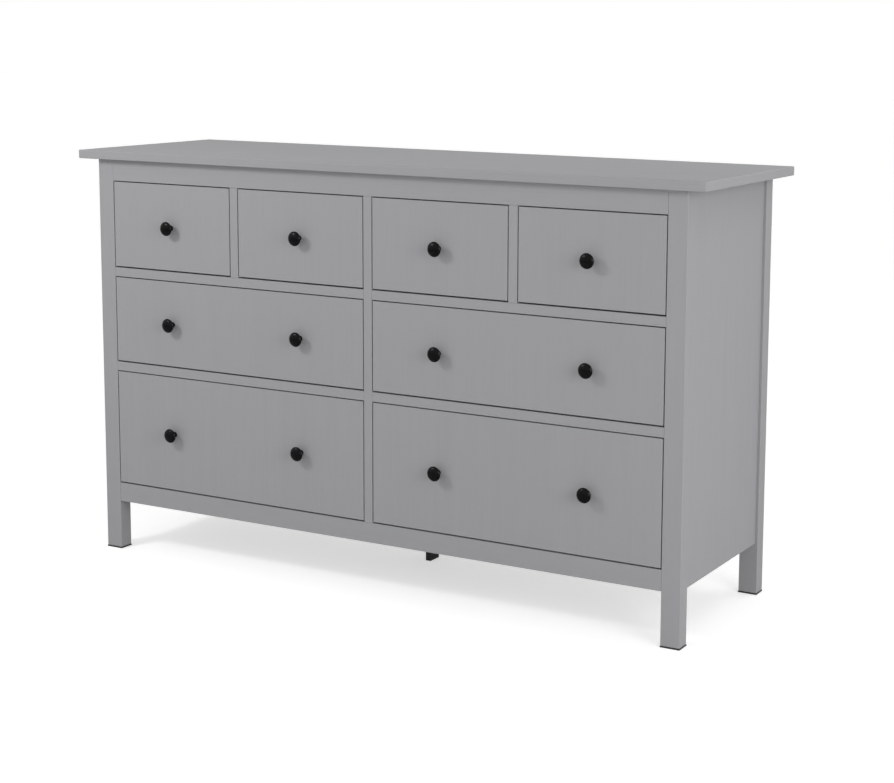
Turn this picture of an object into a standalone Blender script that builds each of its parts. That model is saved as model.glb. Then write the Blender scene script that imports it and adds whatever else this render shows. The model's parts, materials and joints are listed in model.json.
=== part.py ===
"""Chest of eight drawers on four square legs, every piece modelled in place at its real size.

Units are metres: +X to the right, +Y to the back, +Z up. The origin lies on the floor, under the middle
of the whole piece of furniture with its knobs. The drawers are closed and slide out along -Y.
"""
import math
from collections import namedtuple

import bmesh
import bpy
from mathutils import Matrix, Vector

# Top panel
TOP_WIDTH = 1.600
TOP_DEPTH = 0.488
TOP_THICKNESS = 0.020
SIDE_OVERHANG = 0.045
FRONT_OVERHANG = 0.018
BACK_OVERHANG = 0.010

# Legs, glides and side panels
LEG_WIDTH = 0.043
LEG_DEPTH = 0.035
GLIDE_THICKNESS = 0.003
GLIDE_LIP = 0.001
PANEL_THICKNESS = 0.018
PANEL_RECESS = 0.006
PANEL_TONGUE = 0.006

# Face frame and the three rows of drawers, from the floor up
FLOOR_CLEARANCE = 0.118
BOTTOM_RAIL_HEIGHT = 0.045
BOTTOM_ROW_HEIGHT = 0.275
MIDDLE_ROW_HEIGHT = 0.205
TOP_ROW_HEIGHT = 0.205
CROSS_RAIL_HEIGHT = 0.021
TOP_RAIL_HEIGHT = 0.050
RAIL_THICKNESS = 0.020
CROSS_RAIL_DEPTH = 0.040
STILE_WIDTH = 0.021

# Back panel and the support leg under the middle
BACK_PANEL_THICKNESS = 0.003
BACK_PANEL_INSET = 0.008
BACK_PANEL_TONGUE = 0.006
CENTRE_LEG_THICKNESS = 0.0145
CENTRE_LEG_DEPTH = 0.038
CENTRE_LEG_SETBACK = 0.282
CENTRE_LEG_TOP_SPACE = 0.007

# Drawers
FRONT_GAP = 0.0025
FRONT_GAP_BELOW = 0.0035
FRONT_THICKNESS = 0.020
BOX_BACK_SPACE = 0.014
BOX_THICKNESS = 0.012
BOX_DROP = 0.035
BOX_BOTTOM_THICKNESS = 0.003
BOX_BOTTOM_RISE = 0.010
BOX_GROOVE = 0.005
TRAVEL = 0.300

# Roller runners: a fixed channel with a front roller, a moving angle with a rear roller
RUNNER_SPACE = 0.0127
RUNNER_START = 0.006
CHANNEL_LIFT = 0.0125
CHANNEL_HEADROOM = 0.004
STEEL = 0.0012
ROLLER_RADIUS = 0.008
ROLLER_INSET = 0.012
ROLLER_AXLE_RADIUS = 0.003
STOP_LENGTH = 0.004
STOP_HEIGHT = 0.004
BATTEN_LIP = 0.006

# Knobs and their screws
KNOB_RADIUS = 0.0165
KNOB_REACH = 0.025
KNOB_DOME = 0.0055
KNOB_RIM = 0.0025
KNOB_NECK_RADIUS = 0.0057
KNOB_NECK_START = 0.009
KNOB_FOOT_RADIUS = 0.0065
KNOB_FOOT_LENGTH = 0.004
SCREW_RADIUS = 0.002
SCREW_HEAD_RADIUS = 0.0042
SCREW_HEAD_LENGTH = 0.002

# Dowels and pins
DOWEL_RADIUS = 0.004
DOWEL_LENGTH = 0.012
SHORT_DOWEL_LENGTH = 0.008
PIN_RADIUS = 0.0025
PIN_LENGTH = 0.012

# Clearances: two pieces that touch keep SEAT_GAP, and what is fused into a board reaches EMBED into it
SEAT_GAP = 0.0003
HOLE_GAP = 0.0003
EMBED = 0.0005
ROLLER_PLAY = 0.0003
FLANGE_PLAY = 0.0008
SIDE_PLAY = 0.0012
BOX_OVER_CHANNEL = 0.002

# Rounded edges and facets
SLAB_ROUNDING = 0.0020
LEG_ROUNDING = 0.0015
FRONT_ROUNDING = 0.0012
BOARD_ROUNDING = 0.0006
KNOB_SIDES = 14
ROLLER_SIDES = 9
DOWEL_SIDES = 8
DOME_STEPS = 3
FLARE_STEPS = 2
FOOT_STEPS = 2
SMOOTH_ANGLE = math.radians(35)

# Levels, worked out upward from the floor
BOTTOM_ROW_LOW = FLOOR_CLEARANCE + BOTTOM_RAIL_HEIGHT
BOTTOM_ROW_HIGH = BOTTOM_ROW_LOW + BOTTOM_ROW_HEIGHT
MIDDLE_ROW_LOW = BOTTOM_ROW_HIGH + CROSS_RAIL_HEIGHT
MIDDLE_ROW_HIGH = MIDDLE_ROW_LOW + MIDDLE_ROW_HEIGHT
TOP_ROW_LOW = MIDDLE_ROW_HIGH + CROSS_RAIL_HEIGHT
TOP_ROW_HIGH = TOP_ROW_LOW + TOP_ROW_HEIGHT
UNDERSIDE = TOP_ROW_HIGH + TOP_RAIL_HEIGHT
HEIGHT = UNDERSIDE + TOP_THICKNESS

# Widths, from the middle outward
LEG_OUTER = TOP_WIDTH / 2 - SIDE_OVERHANG
LEG_INNER = LEG_OUTER - LEG_WIDTH
OPENING_WIDTH = (2 * LEG_INNER - 3 * STILE_WIDTH) / 4
CENTRE_FACE = STILE_WIDTH / 2
DIVIDER_X = OPENING_WIDTH + STILE_WIDTH
PANEL_OUTER = LEG_OUTER - PANEL_RECESS
PANEL_INNER = PANEL_OUTER - PANEL_THICKNESS

# Depths, from front to back
KNOB_PAST_TOP = max(0.0, KNOB_REACH - FRONT_OVERHANG)
TOP_FRONT = (KNOB_PAST_TOP - TOP_DEPTH) / 2
TOP_BACK = TOP_FRONT + TOP_DEPTH
FACE = TOP_FRONT + FRONT_OVERHANG
REAR = TOP_BACK - BACK_OVERHANG
RAIL_BACK = FACE + RAIL_THICKNESS
BACK_PANEL_FRONT = REAR - BACK_PANEL_INSET - BACK_PANEL_THICKNESS
BACK_RAIL_FRONT = BACK_PANEL_FRONT - SEAT_GAP - RAIL_THICKNESS
CENTRE_LEG_FRONT = FACE + CENTRE_LEG_SETBACK
BOX_FRONT = FACE + FRONT_THICKNESS + SEAT_GAP
BOX_BACK = BACK_PANEL_FRONT - BOX_BACK_SPACE
CHANNEL_FRONT = FACE + FRONT_THICKNESS + RUNNER_START

# Runner heights above the lower edge of the channel, and reaches from the side face of the opening
CHANNEL_FLOOR = STEEL
REAR_ROLLER_HEIGHT = CHANNEL_FLOOR + ROLLER_PLAY + ROLLER_RADIUS
FLANGE_LOW = REAR_ROLLER_HEIGHT + ROLLER_RADIUS + FLANGE_PLAY
FLANGE_HIGH = FLANGE_LOW + STEEL
FRONT_ROLLER_HEIGHT = FLANGE_LOW - ROLLER_PLAY - ROLLER_RADIUS
CHANNEL_HEIGHT = FLANGE_HIGH + CHANNEL_HEADROOM + STEEL
WEB_FRONT = SEAT_GAP + STEEL
CHANNEL_REACH = RUNNER_SPACE - STEEL - SIDE_PLAY

# Paint and metal: linear colour, roughness, metallic
FINISHES = {
    "grey_paint": ((0.335, 0.335, 0.345), 0.45, 0.0),
    "drawer_pine": ((0.62, 0.45, 0.27), 0.55, 0.0),
    "board_grey": ((0.46, 0.46, 0.47), 0.60, 0.0),
    "knob_black": ((0.012, 0.012, 0.013), 0.35, 0.0),
    "plastic_black": ((0.018, 0.018, 0.019), 0.50, 0.0),
}

Opening = namedtuple("Opening", "name x_low x_high z_low z_high")


def clear_scene():
    """Remove whatever objects the open file holds."""
    for item in list(bpy.data.objects):
        bpy.data.objects.remove(item, do_unlink=True)


def material(name):
    """Return the named Principled material, made on first use."""
    found = bpy.data.materials.get(name)
    if found:
        return found
    colour, roughness, metallic = FINISHES[name]
    made = bpy.data.materials.new(name)
    made.use_nodes = True
    shader = made.node_tree.nodes["Principled BSDF"]
    shader.inputs["Base Color"].default_value = (*colour, 1.0)
    shader.inputs["Roughness"].default_value = roughness
    shader.inputs["Metallic"].default_value = metallic
    made.diffuse_color = (*colour, 1.0)
    return made


def finished(bm):
    """Turn a bmesh into a mesh with its faces pointing out."""
    bmesh.ops.recalc_face_normals(bm, faces=bm.faces)
    mesh = bpy.data.meshes.new("shape")
    bm.to_mesh(mesh)
    bm.free()
    return mesh


def rounded(bm, radius):
    """Round the outer edges of a solid, with a single facet on drawer fronts and thin boards."""
    if radius > 0:
        bmesh.ops.recalc_face_normals(bm, faces=bm.faces)
        outer_edges = [edge for edge in bm.edges if edge.is_convex]
        segments = 1 if radius <= FRONT_ROUNDING else 2
        bmesh.ops.bevel(bm, geom=outer_edges, offset=radius, segments=segments,
                        profile=0.5, affect="EDGES", clamp_overlap=True)


def block(x_range, y_range, z_range, rounding=0.0):
    """A board between two limits on each axis, in either order."""
    low = Vector(min(pair) for pair in (x_range, y_range, z_range))
    high = Vector(max(pair) for pair in (x_range, y_range, z_range))
    bm = bmesh.new()
    bmesh.ops.create_cube(bm, size=1.0)
    bmesh.ops.scale(bm, vec=high - low, verts=bm.verts)
    bmesh.ops.translate(bm, vec=(low + high) / 2, verts=bm.verts)
    rounded(bm, rounding)
    return finished(bm)


def prism(axis, outline, start, end, rounding=0.0):
    """Extrude an outline along an axis. Its points give the other two coordinates, in X, Y, Z order."""
    index = "XYZ".index(axis)
    bm = bmesh.new()
    corners = []
    for first, second in outline:
        point = [first, second]
        point.insert(index, start)
        corners.append(bm.verts.new(point))
    face = bm.faces.new(corners)
    extruded = bmesh.ops.extrude_face_region(bm, geom=[face], use_keep_orig=True)
    moved = [item for item in extruded["geom"] if isinstance(item, bmesh.types.BMVert)]
    shift = Vector((0.0, 0.0, 0.0))
    shift[index] = end - start
    bmesh.ops.translate(bm, vec=shift, verts=moved)
    rounded(bm, rounding)
    return finished(bm)


def turned(profile, sides):
    """Spin a profile of (radius, height) points round the Z axis. It starts and ends on the axis,
    and a flat end becomes one single face."""
    bm = bmesh.new()
    points = [bm.verts.new((radius, 0.0, height)) for radius, height in profile]
    edges = [bm.edges.new(pair) for pair in zip(points, points[1:])]
    bmesh.ops.spin(bm, geom=points + edges, cent=(0, 0, 0), axis=(0, 0, 1), dvec=(0, 0, 0),
                   angle=math.tau, steps=sides, use_merge=True, use_duplicate=False)
    bmesh.ops.remove_doubles(bm, verts=bm.verts, dist=0.000001)
    for end in (profile[0], profile[-1]):
        if [height for _, height in profile].count(end[1]) > 1:
            centre = [v for v in bm.verts if (v.co - Vector((0, 0, end[1]))).length < 0.000001]
            bmesh.ops.dissolve_verts(bm, verts=centre)
    return finished(bm)


def along(axis, place):
    """The matrix that lays the Z axis along the named direction, with its zero at the place."""
    turns = {
        "+X": Matrix.Rotation(math.pi / 2, 4, "Y"),
        "-X": Matrix.Rotation(-math.pi / 2, 4, "Y"),
        "-Y": Matrix.Rotation(math.pi / 2, 4, "X"),
        "+Z": Matrix.Identity(4),
    }
    return Matrix.Translation(Vector(place)) @ turns[axis]


def rod(axis, place, radius, start, end):
    """A plain round bar or a drill, from start to end along the axis through the place."""
    mesh = turned([(0.0, start), (radius, start), (radius, end), (0.0, end)], DOWEL_SIDES)
    mesh.transform(along(axis, place))
    return mesh


def joined(meshes):
    """Put separate closed shapes into one mesh, as one tool for a Boolean."""
    bm = bmesh.new()
    for mesh in meshes:
        bm.from_mesh(mesh)
    result = bpy.data.meshes.new("tools")
    bm.to_mesh(result)
    bm.free()
    return result


def combined(base, tools, operation):
    """The exact Boolean of a solid with a list of tools."""
    if not tools:
        return base
    base_object = bpy.data.objects.new("base", base)
    tool_object = bpy.data.objects.new("tool", joined(tools))
    for item in (base_object, tool_object):
        bpy.context.scene.collection.objects.link(item)
    modifier = base_object.modifiers.new("boolean", "BOOLEAN")
    modifier.operation = operation
    modifier.solver = "EXACT"
    modifier.object = tool_object
    graph = bpy.context.evaluated_depsgraph_get()
    result = bpy.data.meshes.new_from_object(base_object.evaluated_get(graph))
    for item in (base_object, tool_object):
        bpy.data.objects.remove(item, do_unlink=True)
    return result


def fuse(base, tools):
    """Join tools to a solid as one body."""
    return combined(base, tools, "UNION")


def cut(base, tools):
    """Cut tools away from a solid."""
    return combined(base, tools, "DIFFERENCE")


def add_piece(name, mesh, finish, origin, parent=None):
    """Make an object of a shape modelled in place, with its own origin at the given point."""
    mesh = mesh.copy()
    mesh.name = name
    mesh.transform(Matrix.Translation(-Vector(origin)))
    mesh.materials.clear()
    mesh.materials.append(material(finish))
    mesh.shade_smooth()
    mesh.set_sharp_from_angle(angle=SMOOTH_ANGLE)
    piece = bpy.data.objects.new(name, mesh)
    bpy.context.scene.collection.objects.link(piece)
    piece.location = Vector(origin)
    if parent:
        piece.parent = parent
        piece.location = Vector(origin) - parent.location
    return piece


def drawer_openings():
    """The eight openings of the face frame."""
    inner = (CENTRE_FACE, CENTRE_FACE + OPENING_WIDTH)
    outer = (LEG_INNER - OPENING_WIDTH, LEG_INNER)
    top = [(-outer[1], -outer[0]), (-inner[1], -inner[0]), inner, outer]
    wide = [("left", -LEG_INNER, -CENTRE_FACE), ("right", CENTRE_FACE, LEG_INNER)]
    openings = []
    for number, (x_low, x_high) in enumerate(top, start=1):
        openings.append(Opening(f"drawer_top_{number}", x_low, x_high, TOP_ROW_LOW, TOP_ROW_HIGH))
    for side, x_low, x_high in wide:
        openings.append(Opening(f"drawer_middle_{side}", x_low, x_high, MIDDLE_ROW_LOW, MIDDLE_ROW_HIGH))
        openings.append(Opening(f"drawer_bottom_{side}", x_low, x_high, BOTTOM_ROW_LOW, BOTTOM_ROW_HIGH))
    return openings


def two_heights(z_low, z_high):
    """Where a tall rail has its two dowels."""
    height = z_high - z_low
    return [z_low + 0.28 * height, z_high - 0.28 * height]


def rail_joints():
    """Every dowelled rail end as (side, y, z, face x, dowel length), for the rails and what they enter."""
    joints = []
    for side in (-1, 1):
        for y in (FACE + RAIL_THICKNESS / 2, BACK_RAIL_FRONT + RAIL_THICKNESS / 2):
            heights = two_heights(FLOOR_CLEARANCE, BOTTOM_ROW_LOW) + two_heights(TOP_ROW_HIGH, UNDERSIDE)
            joints += [(side, y, z, LEG_INNER, DOWEL_LENGTH) for z in heights]
        for row_low in (MIDDLE_ROW_LOW, TOP_ROW_LOW):
            z = row_low - CROSS_RAIL_HEIGHT / 2
            y = FACE + LEG_DEPTH / 2
            joints.append((side, y, z, LEG_INNER, DOWEL_LENGTH))
            joints.append((side, y, z, CENTRE_FACE, SHORT_DOWEL_LENGTH))
    return joints


def end_dowels(side, face_x, y_range, z_range):
    """The dowels that stand out of a rail's end towards the face at side * face_x."""
    dowels = []
    for joint_side, y, z, x, length in rail_joints():
        inside = y_range[0] < y < y_range[1] and z_range[0] < z < z_range[1]
        if joint_side == side and x == face_x and inside:
            outward = side if face_x == LEG_INNER else -side
            start = side * face_x - outward * (SEAT_GAP + EMBED)
            end = side * face_x + outward * length
            dowels.append(rod("+X", (0.0, y, z), DOWEL_RADIUS, min(start, end), max(start, end)))
    return dowels


def dowel_holes(side, face_x, y_range):
    """The drills for the holes that those dowels enter, in the piece behind the face."""
    holes = []
    for joint_side, y, z, x, length in rail_joints():
        if joint_side == side and x == face_x and y_range[0] < y < y_range[1]:
            outward = side if face_x == LEG_INNER else -side
            start = side * face_x - outward * SEAT_GAP
            end = side * face_x + outward * (length + HOLE_GAP)
            radius = DOWEL_RADIUS + HOLE_GAP
            holes.append(rod("+X", (0.0, y, z), radius, min(start, end), max(start, end)))
    return holes


def top_dowel_places():
    """The points on the underside where legs and boards are dowelled into the top."""
    places = []
    for side in (-1, 1):
        for y in (FACE + LEG_DEPTH / 2, REAR - LEG_DEPTH / 2):
            places.append((side * (LEG_INNER + LEG_OUTER) / 2, y))
        for y in board_dowel_depths():
            places.append((side * DIVIDER_X, y))
    for y in board_dowel_depths():
        places.append((0.0, y))
    return places


def board_dowel_depths():
    """Where the partition and the dividers have their dowels, from front to back."""
    length = BACK_RAIL_FRONT - RAIL_BACK
    return [RAIL_BACK + 0.15 * length, BACK_RAIL_FRONT - 0.15 * length]


def standing_dowel(x, y, z_face, length):
    """A dowel that stands up out of a face at z_face."""
    return rod("+Z", (x, y, z_face), DOWEL_RADIUS, -EMBED - SEAT_GAP, length)


def standing_hole(x, y, z_face, length):
    """The drill for the hole above that dowel."""
    return rod("+Z", (x, y, z_face), DOWEL_RADIUS + HOLE_GAP, -SEAT_GAP, length + HOLE_GAP)


def build_top():
    """The overhanging slab, drilled from below for its dowels."""
    slab = block((-TOP_WIDTH / 2, TOP_WIDTH / 2), (TOP_FRONT, TOP_BACK), (UNDERSIDE, HEIGHT), SLAB_ROUNDING)
    holes = [standing_hole(x, y, UNDERSIDE, DOWEL_LENGTH) for x, y in top_dowel_places()]
    add_piece("top_panel", cut(slab, holes), "grey_paint", (0.0, 0.0, UNDERSIDE))


def build_leg(side, end):
    """A square leg, grooved for the side panel, drilled for the rails, on its glide."""
    front = end == "front"
    y_range = (FACE, FACE + LEG_DEPTH) if front else (REAR - LEG_DEPTH, REAR)
    middle = (side * (LEG_INNER + LEG_OUTER) / 2, sum(y_range) / 2)
    bottom = GLIDE_THICKNESS + SEAT_GAP
    leg_x = (side * LEG_INNER, side * LEG_OUTER)
    shape = block(leg_x, y_range, (bottom, UNDERSIDE - SEAT_GAP), LEG_ROUNDING)
    tongue_x = (side * (PANEL_INNER - SEAT_GAP), side * (PANEL_OUTER + SEAT_GAP))
    groove = PANEL_TONGUE + SEAT_GAP
    groove_y = (y_range[1] - groove, y_range[1] + SEAT_GAP)
    if not front:
        groove_y = (y_range[0] - SEAT_GAP, y_range[0] + groove)
    tools = [block(tongue_x, groove_y, (FLOOR_CLEARANCE - SEAT_GAP, UNDERSIDE + SEAT_GAP))]
    tools += dowel_holes(side, LEG_INNER, y_range)
    if not front:
        slot_x = (side * (LEG_INNER - SEAT_GAP), side * (LEG_INNER + BACK_PANEL_TONGUE + SEAT_GAP))
        slot_y = (BACK_PANEL_FRONT - SEAT_GAP, BACK_PANEL_FRONT + BACK_PANEL_THICKNESS + SEAT_GAP)
        tools.append(block(slot_x, slot_y, (FLOOR_CLEARANCE - SEAT_GAP, UNDERSIDE + SEAT_GAP)))
    tools.append(rod("+Z", (*middle, bottom), PIN_RADIUS + HOLE_GAP, -SEAT_GAP, PIN_LENGTH + HOLE_GAP))
    shape = fuse(cut(shape, tools), [standing_dowel(*middle, UNDERSIDE, DOWEL_LENGTH)])
    name = f"{end}_{'left' if side < 0 else 'right'}"
    add_piece(f"leg_{name}", shape, "grey_paint", (*middle, bottom))

    pad_x = (side * (LEG_INNER - GLIDE_LIP), side * (LEG_OUTER + GLIDE_LIP))
    pad_y = (y_range[0] - GLIDE_LIP, y_range[1] + GLIDE_LIP)
    pad = block(pad_x, pad_y, (0.0, GLIDE_THICKNESS), BOARD_ROUNDING)
    pin = rod("+Z", (*middle, GLIDE_THICKNESS), PIN_RADIUS, -EMBED, PIN_LENGTH)
    add_piece(f"glide_{name}", fuse(pad, [pin]), "plastic_black", (*middle, 0.0))


def runner_levels():
    """The lower edge of the channels in the bottom, middle and top row."""
    return [row_low + CHANNEL_LIFT for row_low in (BOTTOM_ROW_LOW, MIDDLE_ROW_LOW, TOP_ROW_LOW)]


def stop_lug(face_x, inward, level):
    """The lug on the channel's lower flange that meets the rear roller when the drawer is out by TRAVEL."""
    lap = STOP_HEIGHT - ROLLER_PLAY
    reach = math.sqrt(ROLLER_RADIUS ** 2 - (ROLLER_RADIUS - lap) ** 2)
    back = BOX_BACK - ROLLER_INSET - TRAVEL - reach - SEAT_GAP
    x_range = (face_x + inward * (WEB_FRONT - STEEL / 2), face_x + inward * (CHANNEL_REACH - SIDE_PLAY / 2))
    return block(x_range, (back - STOP_LENGTH, back), (level + STEEL / 2, level + STEEL + STOP_HEIGHT))


def fixed_runner(face_x, inward, level, web_back):
    """A channel on the face at face_x, open towards the drawer, with its front roller and stop."""
    profile = [
        (web_back, 0.0),
        (CHANNEL_REACH, 0.0),
        (CHANNEL_REACH, STEEL),
        (WEB_FRONT, STEEL),
        (WEB_FRONT, CHANNEL_HEIGHT - STEEL),
        (CHANNEL_REACH, CHANNEL_HEIGHT - STEEL),
        (CHANNEL_REACH, CHANNEL_HEIGHT),
        (web_back, CHANNEL_HEIGHT),
    ]
    outline = [(face_x + inward * reach, level + height) for reach, height in profile]
    channel = prism("Y", outline, CHANNEL_FRONT, BOX_BACK)
    roller = turned(roller_profile(WEB_FRONT - STEEL / 2, WEB_FRONT + SIDE_PLAY / 2), ROLLER_SIDES)
    direction = "+X" if inward > 0 else "-X"
    roller.transform(along(direction, (face_x, CHANNEL_FRONT + ROLLER_INSET, level + FRONT_ROLLER_HEIGHT)))
    return fuse(channel, [roller, stop_lug(face_x, inward, level)])


def roller_profile(axle_start, wheel_start):
    """A roller between the channel's web and the moving angle, on an axle from one of them."""
    wheel_end = CHANNEL_REACH - SIDE_PLAY / 2
    return [
        (0.0, axle_start),
        (ROLLER_AXLE_RADIUS, axle_start),
        (ROLLER_AXLE_RADIUS, wheel_start),
        (ROLLER_RADIUS, wheel_start),
        (ROLLER_RADIUS, wheel_end),
        (0.0, wheel_end),
    ]


def moving_runner(face_x, inward, level, box_low):
    """An angle on the drawer's side: its flange lies on the front roller, its rear roller in the channel."""
    side_face = RUNNER_SPACE + EMBED
    profile = [
        (side_face, box_low - level),
        (side_face, FLANGE_HIGH),
        (WEB_FRONT + SIDE_PLAY, FLANGE_HIGH),
        (WEB_FRONT + SIDE_PLAY, FLANGE_LOW),
        (RUNNER_SPACE - STEEL, FLANGE_LOW),
        (RUNNER_SPACE - STEEL, box_low - level),
    ]
    outline = [(face_x + inward * reach, level + height) for reach, height in profile]
    angle = prism("Y", outline, BOX_FRONT, BOX_BACK)
    wheel_start = WEB_FRONT + SIDE_PLAY / 2
    wheel_end = CHANNEL_REACH - SIDE_PLAY / 2
    axle_end = RUNNER_SPACE - STEEL / 2
    roller = turned([
        (0.0, wheel_start),
        (ROLLER_RADIUS, wheel_start),
        (ROLLER_RADIUS, wheel_end),
        (ROLLER_AXLE_RADIUS, wheel_end),
        (ROLLER_AXLE_RADIUS, axle_end),
        (0.0, axle_end),
    ], ROLLER_SIDES)
    direction = "+X" if inward > 0 else "-X"
    roller.transform(along(direction, (face_x, BOX_BACK - ROLLER_INSET, level + REAR_ROLLER_HEIGHT)))
    return fuse(angle, [roller])


def build_side_panel(side):
    """A side panel with tongues in the legs and a batten behind each runner."""
    panel_y = (FACE + LEG_DEPTH - PANEL_TONGUE, REAR - LEG_DEPTH + PANEL_TONGUE)
    panel_x = (side * PANEL_INNER, side * PANEL_OUTER)
    panel = block(panel_x, panel_y, (FLOOR_CLEARANCE, UNDERSIDE - SEAT_GAP), BOARD_ROUNDING)
    batten_y = (FACE + LEG_DEPTH + SEAT_GAP, REAR - LEG_DEPTH - SEAT_GAP)
    batten_face = LEG_INNER - SEAT_GAP - EMBED
    battens = []
    runners = []
    for level in runner_levels():
        batten_z = (level - BATTEN_LIP, level + CHANNEL_HEIGHT + BATTEN_LIP)
        battens.append(block((side * batten_face, side * (PANEL_INNER + EMBED)), batten_y, batten_z))
        runners.append(fixed_runner(side * LEG_INNER, -side, level, SEAT_GAP))
    shape = fuse(fuse(panel, battens), runners)
    name = "side_panel_left" if side < 0 else "side_panel_right"
    add_piece(name, shape, "grey_paint", (side * PANEL_OUTER, 0.0, FLOOR_CLEARANCE))


def build_rails():
    """The two long front rails and the two long back rails, dowelled between the legs."""
    length = (SEAT_GAP - LEG_INNER, LEG_INNER - SEAT_GAP)
    front_y = (FACE, RAIL_BACK)
    back_y = (BACK_RAIL_FRONT, BACK_RAIL_FRONT + RAIL_THICKNESS)
    low_z = (FLOOR_CLEARANCE, BOTTOM_ROW_LOW)
    high_z = (TOP_ROW_HIGH, UNDERSIDE - SEAT_GAP)
    rails = [
        ("top_rail", front_y, high_z),
        ("bottom_rail", front_y, low_z),
        ("back_rail_upper", back_y, high_z),
        ("back_rail_lower", back_y, low_z),
    ]
    for name, y_range, z_range in rails:
        dowels = end_dowels(-1, LEG_INNER, y_range, z_range) + end_dowels(1, LEG_INNER, y_range, z_range)
        shape = fuse(block(length, y_range, z_range, BOARD_ROUNDING), dowels)
        add_piece(name, shape, "grey_paint", (0.0, y_range[0], z_range[0]))


def build_cross_rail(side, row_low, level_name):
    """A short rail between a leg and the partition. The upper one also carries a divider."""
    y_range = (FACE, FACE + CROSS_RAIL_DEPTH)
    z_range = (row_low - CROSS_RAIL_HEIGHT, row_low)
    x_range = (side * (CENTRE_FACE + SEAT_GAP), side * (LEG_INNER - SEAT_GAP))
    dowels = end_dowels(side, LEG_INNER, y_range, z_range) + end_dowels(side, CENTRE_FACE, y_range, z_range)
    shape = fuse(block(x_range, y_range, z_range, BOARD_ROUNDING), dowels)
    if row_low == TOP_ROW_LOW:
        foot = (side * DIVIDER_X, FACE + CROSS_RAIL_DEPTH / 2, row_low)
        drill_end = SHORT_DOWEL_LENGTH + HOLE_GAP
        shape = cut(shape, [rod("+Z", foot, DOWEL_RADIUS + HOLE_GAP, -drill_end, SEAT_GAP)])
    name = f"cross_rail_{level_name}_{'left' if side < 0 else 'right'}"
    add_piece(name, shape, "grey_paint", (sum(x_range) / 2, FACE, z_range[0]))


def build_partition():
    """The upright board in the middle: its front edge is the centre stile, and it notches round the rails."""
    low_notch = BOTTOM_ROW_LOW + SEAT_GAP
    high_notch = TOP_ROW_HIGH - SEAT_GAP
    notch_front = RAIL_BACK + SEAT_GAP
    notch_back = BACK_RAIL_FRONT - SEAT_GAP
    back = BACK_PANEL_FRONT - SEAT_GAP
    top = UNDERSIDE - SEAT_GAP
    outline = [
        (notch_front, FLOOR_CLEARANCE), (notch_back, FLOOR_CLEARANCE),
        (notch_back, low_notch), (back, low_notch),
        (back, high_notch), (notch_back, high_notch),
        (notch_back, top), (notch_front, top),
        (notch_front, high_notch), (FACE, high_notch),
        (FACE, low_notch), (notch_front, low_notch),
    ]
    board = prism("X", outline, -CENTRE_FACE, CENTRE_FACE, BOARD_ROUNDING)
    holes = dowel_holes(-1, CENTRE_FACE, (FACE, REAR)) + dowel_holes(1, CENTRE_FACE, (FACE, REAR))
    holes += [pin_tool(z, HOLE_GAP) for z in centre_leg_pins()]
    additions = [standing_dowel(0.0, y, UNDERSIDE, DOWEL_LENGTH) for y in board_dowel_depths()]
    for level in runner_levels():
        for side in (-1, 1):
            additions.append(fixed_runner(side * CENTRE_FACE, side, level, -EMBED))
    shape = fuse(cut(board, holes), additions)
    add_piece("centre_partition", shape, "grey_paint", (0.0, FACE, FLOOR_CLEARANCE))


def build_divider(side):
    """The short board between two small drawers, on a cross rail, with a runner on each face."""
    bottom = TOP_ROW_LOW + SEAT_GAP
    high_notch = TOP_ROW_HIGH - SEAT_GAP
    top = UNDERSIDE - SEAT_GAP
    notch_back = BACK_RAIL_FRONT - SEAT_GAP
    outline = [
        (FACE, bottom), (BACK_PANEL_FRONT - SEAT_GAP, bottom),
        (BACK_PANEL_FRONT - SEAT_GAP, high_notch), (notch_back, high_notch),
        (notch_back, top), (RAIL_BACK + SEAT_GAP, top),
        (RAIL_BACK + SEAT_GAP, high_notch), (FACE, high_notch),
    ]
    x_low = side * DIVIDER_X - STILE_WIDTH / 2
    x_high = x_low + STILE_WIDTH
    board = prism("X", outline, x_low, x_high, BOARD_ROUNDING)
    additions = [standing_dowel(side * DIVIDER_X, y, UNDERSIDE, DOWEL_LENGTH) for y in board_dowel_depths()]
    foot = (side * DIVIDER_X, FACE + CROSS_RAIL_DEPTH / 2, TOP_ROW_LOW)
    additions.append(rod("+Z", foot, DOWEL_RADIUS, -SHORT_DOWEL_LENGTH, SEAT_GAP + EMBED))
    level = runner_levels()[-1]
    additions.append(fixed_runner(x_low, -1, level, -EMBED))
    additions.append(fixed_runner(x_high, 1, level, -EMBED))
    name = "divider_left" if side < 0 else "divider_right"
    add_piece(name, fuse(board, additions), "grey_paint", (side * DIVIDER_X, FACE, bottom))


def build_back_panel():
    """The thin back, held in the grooves of the rear legs behind the back rails."""
    half = LEG_INNER + BACK_PANEL_TONGUE
    y_range = (BACK_PANEL_FRONT, BACK_PANEL_FRONT + BACK_PANEL_THICKNESS)
    sheet = block((-half, half), y_range, (FLOOR_CLEARANCE, UNDERSIDE - SEAT_GAP))
    add_piece("back_panel", sheet, "board_grey", (0.0, BACK_PANEL_FRONT, FLOOR_CLEARANCE))


def centre_leg_pins():
    """The heights of the two screws that hold the support leg."""
    return two_heights(FLOOR_CLEARANCE, BOTTOM_ROW_LOW - CENTRE_LEG_TOP_SPACE)


def pin_tool(z, extra):
    """A screw shank from the support leg into the partition, or with extra size the hole for it."""
    place = (-CENTRE_FACE, CENTRE_LEG_FRONT + CENTRE_LEG_DEPTH / 2, z)
    return rod("+X", place, PIN_RADIUS + extra, -SEAT_GAP - EMBED, SHORT_DOWEL_LENGTH + extra)


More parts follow.
